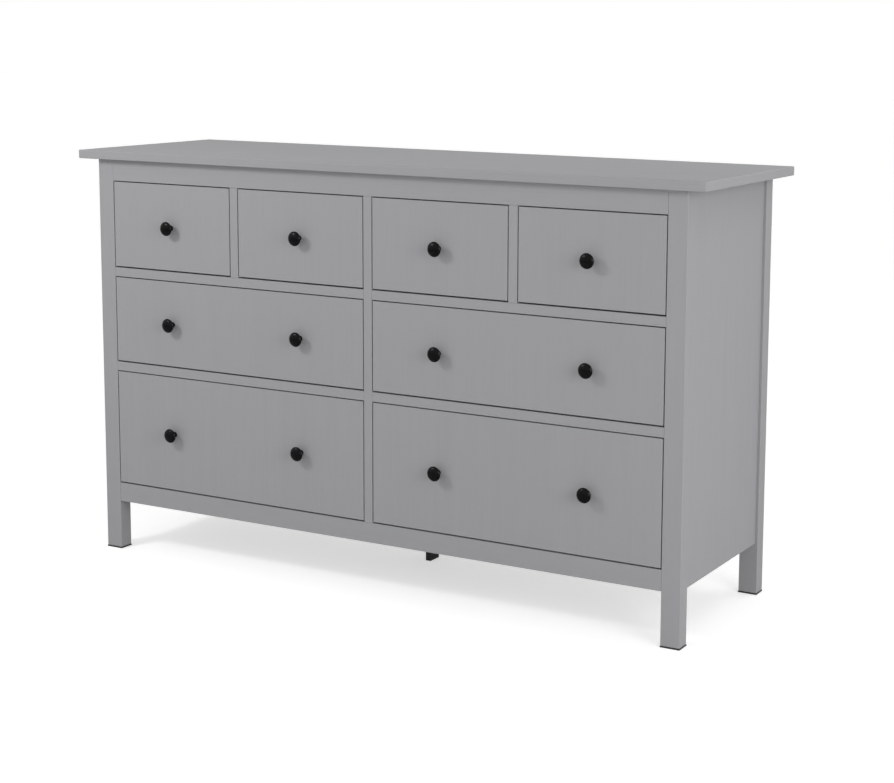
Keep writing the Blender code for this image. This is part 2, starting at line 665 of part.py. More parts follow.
def build_centre_leg():
    """The black support leg, screwed to the left face of the partition and standing on the floor."""
    x_high = -CENTRE_FACE - SEAT_GAP
    y_range = (CENTRE_LEG_FRONT, CENTRE_LEG_FRONT + CENTRE_LEG_DEPTH)
    top = BOTTOM_ROW_LOW - CENTRE_LEG_TOP_SPACE
    shape = block((x_high - CENTRE_LEG_THICKNESS, x_high), y_range, (0.0, top), LEG_ROUNDING)
    shape = fuse(shape, [pin_tool(z, 0.0) for z in centre_leg_pins()])
    foot = (x_high - CENTRE_LEG_THICKNESS / 2, sum(y_range) / 2, 0.0)
    add_piece("centre_leg", shape, "plastic_black", foot)


def knob_profile():
    """The knob from its domed tip to its foot, then its screw, as (radius, height off the drawer's face)."""
    rim = KNOB_REACH - KNOB_DOME
    under = rim - KNOB_RIM
    profile = []
    for step in range(DOME_STEPS + 1):
        angle = math.pi / 2 * step / DOME_STEPS
        profile.append((KNOB_RADIUS * math.sin(angle), rim + KNOB_DOME * math.cos(angle)))
    for step in range(FLARE_STEPS + 1):
        angle = math.pi / 2 * step / FLARE_STEPS
        radius = KNOB_RADIUS - (KNOB_RADIUS - KNOB_NECK_RADIUS) * math.sin(angle)
        profile.append((radius, KNOB_NECK_START + (under - KNOB_NECK_START) * math.cos(angle)))
    for step in range(FOOT_STEPS + 1):
        angle = math.pi / 2 * step / FOOT_STEPS
        radius = KNOB_FOOT_RADIUS - (KNOB_FOOT_RADIUS - KNOB_NECK_RADIUS) * math.cos(angle)
        profile.append((radius, SEAT_GAP + (KNOB_FOOT_LENGTH - SEAT_GAP) * (1 - math.sin(angle))))
    head = -FRONT_THICKNESS - SEAT_GAP
    profile += [
        (SCREW_RADIUS, SEAT_GAP),
        (SCREW_RADIUS, head),
        (SCREW_HEAD_RADIUS, head),
        (SCREW_HEAD_RADIUS, head - SCREW_HEAD_LENGTH),
        (0.0, head - SCREW_HEAD_LENGTH),
    ]
    return profile


def knob_places(opening):
    """The centres of a drawer's knobs. Those of a wide drawer line up with the small drawers' knobs."""
    z = (opening.z_low + opening.z_high) / 2
    near = CENTRE_FACE + OPENING_WIDTH / 2
    far = LEG_INNER - OPENING_WIDTH / 2
    return [(x, z) for x in (-far, -near, near, far) if opening.x_low < x < opening.x_high]


def build_drawer(opening, knob_mesh):
    """A drawer under one empty: slab front, box with its runners, bottom, and knobs."""
    centre = ((opening.x_low + opening.x_high) / 2, FACE, (opening.z_low + opening.z_high) / 2)
    slide = bpy.data.objects.new(f"{opening.name}_slide", None)
    bpy.context.scene.collection.objects.link(slide)
    slide.location = centre

    level = opening.z_low + CHANNEL_LIFT
    box_low = level + BOX_OVER_CHANNEL
    box_high = opening.z_high - FRONT_GAP - BOX_DROP
    outer = (opening.x_low + RUNNER_SPACE, opening.x_high - RUNNER_SPACE)
    inner = (outer[0] + BOX_THICKNESS, outer[1] - BOX_THICKNESS)
    back_face = BOX_BACK - BOX_THICKNESS
    bottom_low = box_low + BOX_BOTTOM_RISE
    dowel_z = (box_low + box_high) / 2
    side_centres = [(outer[0] + inner[0]) / 2, (outer[1] + inner[1]) / 2]

    slot = block((inner[0] - BOX_GROOVE, inner[1] + BOX_GROOVE),
                 (FACE + FRONT_THICKNESS - BOX_GROOVE, back_face + BOX_GROOVE),
                 (bottom_low - SEAT_GAP, bottom_low + BOX_BOTTOM_THICKNESS + SEAT_GAP))

    front = block((opening.x_low + FRONT_GAP, opening.x_high - FRONT_GAP), (FACE, FACE + FRONT_THICKNESS),
                  (opening.z_low + FRONT_GAP_BELOW, opening.z_high - FRONT_GAP), FRONT_ROUNDING)
    drills = [slot]
    for x, z in knob_places(opening):
        drills.append(rod("-Y", (x, FACE, z), SCREW_RADIUS + HOLE_GAP, -FRONT_THICKNESS - SEAT_GAP, SEAT_GAP))
    for x in side_centres:
        start = -FRONT_THICKNESS - SEAT_GAP
        end = -FRONT_THICKNESS + SHORT_DOWEL_LENGTH + HOLE_GAP
        drills.append(rod("-Y", (x, FACE, dowel_z), DOWEL_RADIUS + HOLE_GAP, start, end))
    add_piece(f"{opening.name}_front", cut(front, drills), "grey_paint", centre, slide)

    outline = [
        (outer[0], BOX_FRONT), (outer[0], BOX_BACK), (outer[1], BOX_BACK), (outer[1], BOX_FRONT),
        (inner[1], BOX_FRONT), (inner[1], back_face), (inner[0], back_face), (inner[0], BOX_FRONT),
    ]
    box = cut(prism("Z", outline, box_low, box_high), [slot])
    additions = [
        moving_runner(opening.x_low, 1, level, box_low),
        moving_runner(opening.x_high, -1, level, box_low),
    ]
    for x in side_centres:
        end = SHORT_DOWEL_LENGTH - FRONT_THICKNESS
        start = FACE - BOX_FRONT - EMBED
        additions.append(rod("-Y", (x, FACE, dowel_z), DOWEL_RADIUS, start, end))
    foot = (centre[0], BOX_FRONT, box_low)
    add_piece(f"{opening.name}_box", fuse(box, additions), "drawer_pine", foot, slide)

    reach = BOX_GROOVE - SEAT_GAP
    bottom = block((inner[0] - reach, inner[1] + reach), (FACE + FRONT_THICKNESS - reach, back_face + reach),
                   (bottom_low, bottom_low + BOX_BOTTOM_THICKNESS))
    add_piece(f"{opening.name}_bottom", bottom, "board_grey", (centre[0], BOX_FRONT, bottom_low), slide)

    places = knob_places(opening)
    for number, (x, z) in enumerate(places, start=1):
        name = f"{opening.name}_knob" if len(places) == 1 else f"{opening.name}_knob_{number}"
        shape = knob_mesh.copy()
        shape.transform(along("-Y", (x, FACE, z)))
        add_piece(name, shape, "knob_black", (x, FACE, z), slide)


def build():
    """Make every piece of the chest."""
    clear_scene()
    build_top()
    for side in (-1, 1):
        for end in ("front", "back"):
            build_leg(side, end)
        build_side_panel(side)
        build_cross_rail(side, TOP_ROW_LOW, "upper")
        build_cross_rail(side, MIDDLE_ROW_LOW, "lower")
        build_divider(side)
    build_rails()
    build_partition()
    build_back_panel()
    build_centre_leg()
    knob_mesh = turned(knob_profile(), KNOB_SIDES)
    for opening in drawer_openings():
        build_drawer(opening, knob_mesh)


build()
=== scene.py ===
# %% [markdown]
# # A painted chest of eight drawers
# The real object is a wide wooden chest: four legs, a face frame, an overhanging top and eight inset
# drawers with small black knobs, all in one matte grey paint. Its solids are already fixed in place,
# so this lesson dresses them: it loads them as a frame, then builds each finish, board, runner and
# knob over them. All sizes are in metres, and every piece names the body that it moves with.

# %% Load the fixed frame
import json
import math

import bmesh
import bpy
from mathutils import Matrix, Vector

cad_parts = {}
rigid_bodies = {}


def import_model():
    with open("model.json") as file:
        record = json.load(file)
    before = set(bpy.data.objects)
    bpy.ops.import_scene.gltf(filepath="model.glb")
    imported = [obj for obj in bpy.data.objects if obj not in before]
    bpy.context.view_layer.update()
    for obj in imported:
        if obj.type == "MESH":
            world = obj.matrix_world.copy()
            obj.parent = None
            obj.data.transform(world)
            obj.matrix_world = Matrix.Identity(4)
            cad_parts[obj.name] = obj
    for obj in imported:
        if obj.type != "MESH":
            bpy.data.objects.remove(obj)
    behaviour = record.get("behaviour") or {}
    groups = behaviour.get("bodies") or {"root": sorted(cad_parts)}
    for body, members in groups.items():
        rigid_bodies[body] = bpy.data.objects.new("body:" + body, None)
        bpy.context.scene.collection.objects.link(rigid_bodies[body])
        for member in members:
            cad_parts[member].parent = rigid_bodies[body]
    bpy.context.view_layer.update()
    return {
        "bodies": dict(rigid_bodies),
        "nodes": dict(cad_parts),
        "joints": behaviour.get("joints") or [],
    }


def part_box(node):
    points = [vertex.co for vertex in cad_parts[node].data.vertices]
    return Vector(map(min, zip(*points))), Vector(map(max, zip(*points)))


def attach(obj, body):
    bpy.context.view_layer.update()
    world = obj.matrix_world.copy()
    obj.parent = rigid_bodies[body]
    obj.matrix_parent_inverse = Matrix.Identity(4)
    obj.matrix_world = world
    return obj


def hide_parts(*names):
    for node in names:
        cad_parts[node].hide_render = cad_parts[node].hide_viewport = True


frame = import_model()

# %% [markdown]
# Every later cell needs the same few planes of the carcass: the front face, the underside of the top,
# the inner faces of the legs. They could be typed in again, but two lists of sizes drift apart, so
# they are read from the solids. Only what a solid's box can't tell, such as a board's thickness
# behind its fittings, is written down here.

# %% Planes and thicknesses of the carcass
TOP_LOW, TOP_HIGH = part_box("top_panel")
LEG_LOW, LEG_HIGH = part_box("leg_front_right")
UNDERSIDE = TOP_LOW.z
FACE = LEG_LOW.y
LEG_INNER = LEG_LOW.x
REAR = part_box("leg_back_right")[1].y
LEG_DEPTH = LEG_HIGH.y - LEG_LOW.y
HAIRLINE = 0.0003
STILE = 0.021
RAIL = 0.020
FRONT_GAP, GAP_BELOW = 0.0025, 0.0035
CHANNEL_LIFT = 0.0125
FLOOR_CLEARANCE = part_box("bottom_rail")[0].z
BACK_PANEL_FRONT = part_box("back_panel")[0].y
BACK_RAIL_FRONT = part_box("back_rail_upper")[0].y
SIDES = {"left": -1, "right": 1}

DRAWERS = sorted(name for name in frame["bodies"] if name.startswith("drawer_"))
print("drawers:", ", ".join(DRAWERS))
print("face", round(FACE, 4), "rear", round(REAR, 4), "underside", round(UNDERSIDE, 4))

# %% [markdown]
# The camera is the photograph's: it stands to the right of the chest, a little above the top, and
# looks slightly down. A long lens keeps the uprights nearly parallel. The picture is framed off the
# lens's axis, which is what the two shifts do. They could be left out by turning the camera instead,
# but then the uprights would lean more than they do.

# %% The camera
CAMERA_PLACE = Vector((2.1852, TOP_LOW.y - 3.2798, 1.2579))
CAMERA_YAW, CAMERA_PITCH, CAMERA_ROLL = 0.4967, 0.1415, 0.0084
FOCAL_PIXELS, FRAME_WIDTH, FRAME_HEIGHT = 1827.59, 894, 783
AXIS_X, AXIS_Y = 528.0, 286.0


def camera_axes(yaw, pitch, roll):
    """The camera's right, up and backward directions."""
    forward = Vector((-math.sin(yaw) * math.cos(pitch), math.cos(yaw) * math.cos(pitch),
                      -math.sin(pitch)))
    level = Vector((math.cos(yaw), math.sin(yaw), 0.0))
    above = level.cross(forward)
    right = level * math.cos(roll) + above * math.sin(roll)
    up = above * math.cos(roll) - level * math.sin(roll)
    return right, up, -forward


def add_object(name, data):
    """A new object in the scene with this data."""
    made = bpy.data.objects.new(name, data)
    bpy.context.scene.collection.objects.link(made)
    return made


def make_camera():
    """Put the photograph's camera in place and look through it."""
    lens = bpy.data.cameras.new("viewpoint")
    lens.sensor_width = 36.0
    lens.lens = FOCAL_PIXELS / FRAME_WIDTH * lens.sensor_width
    lens.shift_x = (FRAME_WIDTH / 2 - AXIS_X) / FRAME_WIDTH
    lens.shift_y = (AXIS_Y - FRAME_HEIGHT / 2) / FRAME_WIDTH
    lens.clip_start, lens.clip_end = 0.05, 200.0
    camera = add_object("viewpoint", lens)
    right, up, back = camera_axes(CAMERA_YAW, CAMERA_PITCH, CAMERA_ROLL)
    turn = Matrix((right, up, back)).transposed().to_4x4()
    camera.matrix_world = Matrix.Translation(CAMERA_PLACE) @ turn
    bpy.context.scene.camera = camera
    return camera


camera = make_camera()
print("lens", round(camera.data.lens, 2), "mm")

# %% [markdown]
# Materials are trees of nodes. Writing each link out in full hides what a finish is made of, so a
# small helper adds a node and feeds its sockets in one line: a value is set, and an output is linked.

# %% A helper for node trees
OWN_SHIFT = {"X": 7.3, "Y": 3.1, "Z": 5.7}


class Tree:
    """One material's node tree, with a Principled shader ready in it."""

    def __init__(self, name):
        self.material = bpy.data.materials.new(name)
        self.material.use_nodes = True
        self.nodes = self.material.node_tree.nodes
        self.links = self.material.node_tree.links
        self.shader = self.nodes["Principled BSDF"]

    def add(self, kind, settings=None, **sockets):
        """Add a node. Settings are its own properties, sockets its inputs by name or as in_0, in_1."""
        node = self.nodes.new(kind)
        for key, value in (settings or {}).items():
            setattr(node, key, value)
        for key, value in sockets.items():
            socket = int(key[3:]) if key.startswith("in_") else key.replace("_", " ")
            self.feed(node.inputs[socket], value)
        return node

    def feed(self, socket, value):
        """Link an output to a socket, or set the socket's own value."""
        if isinstance(value, bpy.types.NodeSocket):
            self.links.new(value, socket)
        else:
            socket.default_value = value

    def math(self, operation, *values):
        """One Math node's result."""
        node = self.nodes.new("ShaderNodeMath")
        node.operation = operation
        for socket, value in zip(node.inputs, values):
            self.feed(socket, value)
        return node.outputs[0]

    def ramp(self, factor, *stops):
        """A colour ramp through (position, colour) stops, and its colour output."""
        node = self.nodes.new("ShaderNodeValToRGB")
        marks = node.color_ramp.elements
        while len(marks) < len(stops):
            marks.new(0.5)
        for mark, (position, colour) in zip(marks, stops):
            mark.position = position
            mark.color = (*colour, 1.0) if hasattr(colour, "__len__") else (colour, colour, colour, 1.0)
        self.feed(node.inputs["Fac"], factor)
        return node.outputs["Color"]

    def mix(self, factor, first, second):
        """A colour between two colours."""
        node = self.nodes.new("ShaderNodeMix")
        node.data_type = "RGBA"
        self.feed(node.inputs["Factor"], factor)
        for name, value in (("A", first), ("B", second)):
            socket = [s for s in node.inputs if s.name == name and s.type == "RGBA"][0]
            self.feed(socket, value if isinstance(value, bpy.types.NodeSocket) else (*value, 1.0))
        return [s for s in node.outputs if s.type == "RGBA"][0]

    def around(self, base, share, field):
        """A base value plus a share of a field, so that a finish is never quite even."""
        return self.math("ADD", base, self.math("MULTIPLY", field, share))

    def place(self, scale):
        """Points on the piece in metres, moved by an amount of its own, times one scale or three."""
        scale = scale if hasattr(scale, "__len__") else (scale, scale, scale)
        points = self.add("ShaderNodeTexCoord").outputs["Object"]
        own = self.add("ShaderNodeObjectInfo").outputs["Random"]
        shift = self.add("ShaderNodeCombineXYZ", **{
            axis: self.math("MULTIPLY", own, metres) for axis, metres in OWN_SHIFT.items()})
        moved = self.add("ShaderNodeVectorMath", {"operation": "ADD"}, in_0=points,
                         in_1=shift.outputs[0])
        return self.add("ShaderNodeVectorMath", {"operation": "MULTIPLY"}, in_0=moved.outputs[0],
                        in_1=scale).outputs[0]

    def noise(self, points, detail=3.0, roughness=0.5):
        """Noise at those points, from 0 to 1."""
        return self.add("ShaderNodeTexNoise", Vector=points, Scale=1.0, Detail=detail,
                        Roughness=roughness).outputs["Fac"]

    def bump(self, height, distance, strength):
        """Feed a height, in units of the distance, to the shader's normal."""
        node = self.add("ShaderNodeBump", Height=height, Distance=distance, Strength=strength)
        self.feed(self.shader.inputs["Normal"], node.outputs["Normal"])

    def set(self, **values):
        """Set or link the shader's own sockets."""
        for key, value in values.items():
            self.feed(self.shader.inputs[key.replace("_", " ")], value)


print("node helper ready")

# %% [markdown]
# The chest stands on a plain pale floor that melts into white. A real studio sweeps a sheet of paper
# up behind the object. Here the floor is one wide plane, and the world behind it is white to the
# camera and to anything glossy, so no seam shows. To the camera the paper also glows a little, which
# lifts it to white but leaves the chest's own soft shadow on it. Away from the chest, where a real
# sheet curves up into the light, it glows a touch more. The light of the room itself comes from all
# round, and more of it from the pale walls than from the ceiling.

# %% Floor and white surroundings
FLOOR_SIZE, FLOOR_CELLS = 60.0, 24
FLOOR_BELOW = 0.0002
FLOOR_SHADE, FLOOR_MOTTLE = 0.80, 0.01
NEAR_GLOW, FAR_GLOW = 0.514, 0.585
SWEEP_START, SWEEP_END = 1.3, 3.2
WALL_LIGHT, CEILING_LIGHT = 0.89, 0.25


def make_floor():
    """A wide pale plane just under the glides."""
    bm = bmesh.new()
    bmesh.ops.create_grid(bm, x_segments=FLOOR_CELLS, y_segments=FLOOR_CELLS, size=FLOOR_SIZE / 2)
    mesh = bpy.data.meshes.new("floor")
    bm.to_mesh(mesh)
    bm.free()
    floor = add_object("floor", mesh)
    floor.location.z = -FLOOR_BELOW
    tree = Tree("paper_floor")
    seen = tree.add("ShaderNodeLightPath").outputs["Is Camera Ray"]
    clouds = tree.noise(tree.place(3), detail=2.0)
    mottle = tree.ramp(clouds, (0.3, FLOOR_SHADE), (0.7, FLOOR_SHADE + FLOOR_MOTTLE))
    away = tree.add("ShaderNodeVectorMath", {"operation": "LENGTH"},
                    in_0=tree.add("ShaderNodeTexCoord").outputs["Object"])
    glow = tree.add("ShaderNodeMapRange", {"interpolation_type": "SMOOTHSTEP"},
                    Value=away.outputs["Value"], From_Min=SWEEP_START, From_Max=SWEEP_END,
                    To_Min=NEAR_GLOW, To_Max=FAR_GLOW)
    tree.set(Base_Color=mottle, Roughness=0.9, Emission_Color=(1, 1, 1, 1),
             Emission_Strength=tree.math("MULTIPLY", seen, glow.outputs["Result"]))
    mesh.materials.append(tree.material)


def make_world():
    """White to camera, glossy and transmission rays, and the room's own light to all others."""
    world = bpy.data.worlds.new("white_room")
    bpy.context.scene.world = world
    world.use_nodes = True
    nodes, links = world.node_tree.nodes, world.node_tree.links
    path = nodes.new("ShaderNodeLightPath")
    sees_white = path.outputs["Is Camera Ray"]
    for kind in ("Is Glossy Ray", "Is Transmission Ray"):
        either = nodes.new("ShaderNodeMath")
        either.operation = "MAXIMUM"
        links.new(sees_white, either.inputs[0])
        links.new(path.outputs[kind], either.inputs[1])
        sees_white = either.outputs[0]
    direction = nodes.new("ShaderNodeSeparateXYZ")
    links.new(nodes.new("ShaderNodeTexCoord").outputs["Generated"], direction.inputs[0])
    ambient = nodes.new("ShaderNodeMapRange")
    ambient.inputs["To Min"].default_value = WALL_LIGHT
    ambient.inputs["To Max"].default_value = CEILING_LIGHT
    links.new(direction.outputs["Z"], ambient.inputs["Value"])
    strength = nodes.new("ShaderNodeMapRange")
    strength.inputs["To Max"].default_value = 1.0
    links.new(ambient.outputs["Result"], strength.inputs["To Min"])
    links.new(sees_white, strength.inputs["Value"])
    background = nodes["Background"]
    background.inputs["Color"].default_value = (1.0, 1.0, 1.0, 1.0)
    links.new(strength.outputs["Result"], background.inputs["Strength"])


make_floor()
make_world()
bpy.context.scene.view_settings.view_transform = "Standard"
print("floor", FLOOR_SIZE, "m wide, light from walls and ceiling", WALL_LIGHT, CEILING_LIGHT)

# %% [markdown]
# In the photograph each knob drops a soft shadow down and to the right. The shadows aren't parallel:
# on the left they fall steeply and are dark, on the right they are long, flat and faint. So the main
# light is near, in front of the left end and above the top, and half a metre wide. A second panel,
# wider and lower, stands beyond the right end. It evens out the front, makes the side panel a shade
# lighter than it, and reaches in under the overhang of the top. The top itself grows lighter to the
# right, which neither of them does, so a weak third panel hangs behind the right end, above it.

# %% Studio lights
LIGHTS_LOOK_AT = Vector((0.0, 0.0, 0.55))


def make_panel_light(name, place, size, strength):
    """A square lamp that looks at the middle of the chest from its place."""
    lamp = bpy.data.lights.new(name, "AREA")
    lamp.size = size
    lamp.energy = strength
    panel = add_object(name, lamp)
    panel.location = place
    panel.rotation_mode = "QUATERNION"
    panel.rotation_quaternion = (Vector(place) - LIGHTS_LOOK_AT).to_track_quat("Z", "Y")
    return panel


KEY_LIGHT = make_panel_light("key_panel", (-1.30, -1.72, 1.96), size=0.50, strength=18.8)
FILL_LIGHT = make_panel_light("fill_panel", (3.35, -1.66, 1.28), size=1.7, strength=46.0)
REAR_LIGHT = make_panel_light("rear_panel", (1.45, 1.25, 2.30), size=1.0, strength=8.5)
print("lights:", [light.name for light in (KEY_LIGHT, FILL_LIGHT, REAR_LIGHT)])

# %% [markdown]
# Grey paint over wood is never quite flat. The brush or roller leaves a fine orange peel, the grain
# telegraphs through as faint streaks along the board, and the paint is thinnest and a touch more
# polished where the edges are rounded. All of it is procedural: noise that is stretched along the
# grain makes the streaks, and an attribute on the rounded faces marks the edges. The grain runs
# lengthwise on the top and the rails and upright on the legs, sides and drawer fronts, so there is
# one version for each direction.

# %% Grey paint
GREY = (0.338, 0.338, 0.348)
GREY_IN_PORES = (0.322, 0.322, 0.332)
GREY_ON_EDGES = (0.362, 0.362, 0.370)


def along_grain(axis, across, lengthwise):
    """A scale for texture points: fine across the grain, slow along it."""
    return tuple(lengthwise if letter == axis else across for letter in "XYZ")


def grey_paint(axis):
    """Satin grey with faint streaks along an axis and paler rounded edges."""
    tree = Tree("grey_paint_grain_" + axis.lower())
    fibres = tree.noise(tree.place(along_grain(axis, 240.0, 5.0)), detail=4.0, roughness=0.6)
    bands = tree.noise(tree.place(along_grain(axis, 26.0, 1.3)), detail=3.0)
    peel = tree.noise(tree.place(420.0), detail=2.0)
    streaks = tree.math("ADD", tree.math("MULTIPLY", fibres, 0.65), tree.math("MULTIPLY", bands, 0.35))
    shade = tree.math("MULTIPLY", tree.math("SUBTRACT", streaks, 0.38), 2.4)
    painted = tree.mix(tree.math("MINIMUM", tree.math("MAXIMUM", shade, 0.0), 1.0), GREY_IN_PORES, GREY)
    edge = tree.add("ShaderNodeAttribute", {"attribute_name": "rounded_edge"}).outputs["Fac"]
    rubbed = tree.math("MULTIPLY", edge, tree.math("MULTIPLY", bands, 0.9))
    tree.set(
        Base_Color=tree.mix(rubbed, painted, GREY_ON_EDGES),
        Roughness=tree.around(0.58, 0.12, tree.math("SUBTRACT", peel, fibres)),
        Specular_IOR_Level=0.30, IOR=1.45,
    )
    height = tree.math("ADD", tree.math("MULTIPLY", streaks, 0.8), tree.math("MULTIPLY", peel, 0.2))
    tree.bump(height, 0.00014, 0.5)
    return tree.material


PAINT = {axis: grey_paint(axis) for axis in "XYZ"}
print("paint:", [paint.name for paint in PAINT.values()])

# %% [markdown]
# The drawer boxes are bare pine under a clear lacquer. Pine shows growth rings cut lengthwise: long
# nested bands, pale early wood and darker late wood. A slow noise field that is stretched along the
# board and folded back on itself many times gives contour lines of just that kind. Fine fibres and
# short dark flecks go over them.

# %% Lacquered pine
PINE_PALE = (0.640, 0.455, 0.265)
PINE_DARK = (0.430, 0.260, 0.120)
PINE_FLECK = (0.300, 0.165, 0.070)


def drawer_pine(axis):
    """Pine with growth rings, fibres and flecks along an axis."""
    tree = Tree("drawer_pine_grain_" + axis.lower())
    field = tree.noise(tree.place(along_grain(axis, 7.0, 0.55)), detail=1.5, roughness=0.4)
    folded = tree.math("FRACT", tree.math("MULTIPLY", field, 22.0))
    rings = tree.math("POWER", folded, 2.4)
    fibres = tree.noise(tree.place(along_grain(axis, 620.0, 9.0)), detail=3.0)
    flecks = tree.noise(tree.place(along_grain(axis, 300.0, 26.0)), detail=1.0)
    wood = tree.mix(tree.math("MULTIPLY", rings, 0.55), PINE_PALE, PINE_DARK)
    wood = tree.mix(tree.math("MULTIPLY", fibres, 0.22), wood, PINE_DARK)
    spots = tree.ramp(flecks, (0.66, 0.0), (0.74, 1.0))
    wood = tree.mix(tree.math("MULTIPLY", spots, 0.35), wood, PINE_FLECK)
    tree.set(Base_Color=wood, Roughness=tree.around(0.42, 0.16, fibres), IOR=1.48)
    tree.bump(tree.math("ADD", fibres, tree.math("MULTIPLY", rings, 0.6)), 0.00015, 0.6)
    return tree.material


PINE = {axis: drawer_pine(axis) for axis in "XY"}
print("pine:", [wood.name for wood in PINE.values()])

# %% [markdown]
# The back and the drawer bottoms are thin hardboard. Its face is rolled smooth and printed grey, and
# still shows pressed fibres as a fine felt of light and dark specks. One noise makes the fibres and
# another the slow waviness of a thin sheet.

# %% Grey hardboard
BOARD_DARK, BOARD_PALE = (0.430, 0.428, 0.425), (0.480, 0.478, 0.475)


def hardboard():
    """Thin grey sheet with a felt of pressed fibres."""
    tree = Tree("grey_hardboard")
    felt = tree.noise(tree.place(800.0), detail=3.0, roughness=0.7)
    waves = tree.noise(tree.place(9.0), detail=1.0)
    colour = tree.mix(tree.ramp(felt, (0.38, 0.0), (0.62, 1.0)), BOARD_DARK, BOARD_PALE)
    tree.set(Base_Color=colour, Roughness=tree.around(0.52, 0.18, felt))
    tree.bump(tree.math("ADD", tree.math("MULTIPLY", felt, 0.15), waves), 0.0005, 0.5)
    return tree.material


HARDBOARD = hardboard()
print("board:", HARDBOARD.name)

# %% [markdown]
# The knobs are a very deep satin black: the light leaves one small soft spot on the upper left of each
# dome, and the rest stays dark. So the specular level is low and constant, the roughness is fairly
# low and varies with noise, and there is no coat, which would make them shine. The glides and the
# support leg are plainer black plastic with the fine grain of a moulding tool.

# %% Blacks
KNOB_DEEP, KNOB_WORN = (0.0022, 0.0022, 0.0023), (0.0045, 0.0045, 0.0045)
PLASTIC_DEEP, PLASTIC_SCUFFED = (0.012, 0.012, 0.013), (0.028, 0.028, 0.029)


def knob_black():
    """Satin black lacquer, a little paler where hands wear it."""
    tree = Tree("knob_satin_black")
    grain = tree.noise(tree.place(1500.0), detail=2.0)
    wear = tree.noise(tree.place(160.0), detail=3.0)
    tree.set(
        Base_Color=tree.mix(tree.ramp(wear, (0.45, 0.0), (0.75, 1.0)), KNOB_DEEP, KNOB_WORN),
        Roughness=tree.around(0.20, 0.12, wear),
        Specular_IOR_Level=0.125, IOR=1.45,
    )
    tree.bump(grain, 0.00004, 0.5)
    return tree.material


def moulded_black():
    """Black plastic with a moulded grain and scuffs."""
    tree = Tree("moulded_black")
    grain = tree.noise(tree.place(1100.0), detail=2.0)
    scuffs = tree.noise(tree.place((60.0, 60.0, 18.0)), detail=4.0)
    tree.set(
        Base_Color=tree.mix(scuffs, PLASTIC_DEEP, PLASTIC_SCUFFED),
        Roughness=tree.around(0.48, 0.2, scuffs),
    )
    tree.bump(grain, 0.00006, 0.6)
    return tree.material


KNOB_BLACK = knob_black()
MOULDED_BLACK = moulded_black()
print("blacks:", KNOB_BLACK.name, MOULDED_BLACK.name)

# %% [markdown]
# The runners are zinc-coated steel, rolled from strip, so they carry faint lines along their length
# and the cloudy spangle of zinc. Their rollers are off-white nylon, slightly waxy. The screws are
# brighter zinc with turning marks.

# %% Steel and nylon
def zinc_strip():
    """Rolled steel strip under zinc: cloudy cells and lines along Y."""
    tree = Tree("zinc_strip")
    spangle = tree.add("ShaderNodeTexVoronoi", Vector=tree.place((170.0, 60.0, 170.0)), Scale=1.0)
    cells = tree.add("ShaderNodeSeparateColor", Color=spangle.outputs["Color"]).outputs[0]
    lines = tree.noise(tree.place((1300.0, 12.0, 1300.0)), detail=3.0)
    tree.set(
        Base_Color=tree.mix(cells, (0.52, 0.53, 0.54), (0.64, 0.65, 0.66)),
        Metallic=1.0,
        Roughness=tree.around(0.30, 0.10, tree.math("ADD", cells, lines)),
    )
    tree.bump(lines, 0.00005, 0.5)
    return tree.material


def screw_zinc():
    """Bright zinc with fine turning marks."""
    tree = Tree("screw_zinc")
    marks = tree.noise(tree.place(2400.0), detail=2.0)
    tree.set(
        Base_Color=tree.mix(marks, (0.56, 0.55, 0.53), (0.72, 0.71, 0.69)),
        Metallic=1.0,
        Roughness=tree.around(0.26, 0.15, marks),
    )
    tree.bump(marks, 0.00003, 0.5)
    return tree.material


def roller_nylon():
    """Waxy off-white nylon that lets a little light in."""
    tree = Tree("roller_nylon")
    haze = tree.noise(tree.place(220.0), detail=3.0)
    tree.set(
        Base_Color=tree.mix(haze, (0.70, 0.69, 0.65), (0.60, 0.59, 0.55)),
        Roughness=tree.around(0.36, 0.14, haze),
        Subsurface_Weight=0.1, Subsurface_Scale=0.002,
    )
    tree.bump(haze, 0.00008, 0.4)
    return tree.material


ZINC, SCREW_ZINC, NYLON = zinc_strip(), screw_zinc(), roller_nylon()
print("metals and nylon:", ZINC.name, SCREW_ZINC.name, NYLON.name)

# %% [markdown]
# A board is a block, but no real board has edges of zero radius: they are eased with sandpaper or a
# cutter, and the light that runs along them is what makes a board look solid. The helpers below cut
# a shape from a box or an outline and round its outer edges in a few small facets. The rounded faces
# are marked, which the paint uses. Normals weighted by face area then keep the wide faces flat.

# %% Helpers for boards
EDGE_STEPS = 3
SHARP_EDGE = 0.6
FLAT_FACE_WEIGHT = 90


def rounded(bm, radius, steps=EDGE_STEPS):
    """Round every outer edge of the shape, and mark the new faces."""
    mark = bm.faces.layers.float.new("rounded_edge")
    bmesh.ops.recalc_face_normals(bm, faces=bm.faces)
    edges = [e for e in bm.edges if e.is_convex and e.calc_face_angle(0.0) > SHARP_EDGE]
    made = bmesh.ops.bevel(bm, geom=edges, offset=radius, segments=steps, profile=0.5,
                           affect="EDGES", clamp_overlap=True)
    for face in made["faces"]:
        face[mark] = 1.0
    return bm


def block(low, high, radius, steps=EDGE_STEPS):
    """A box between two corners with rounded edges."""
    bm = bmesh.new()
    size = [b - a for a, b in zip(low, high)]
    middle = [(a + b) / 2 for a, b in zip(low, high)]
    fit = Matrix.Translation(middle) @ Matrix.Diagonal((*size, 1.0))
    bmesh.ops.create_cube(bm, size=1.0, matrix=fit)
    return rounded(bm, radius, steps)


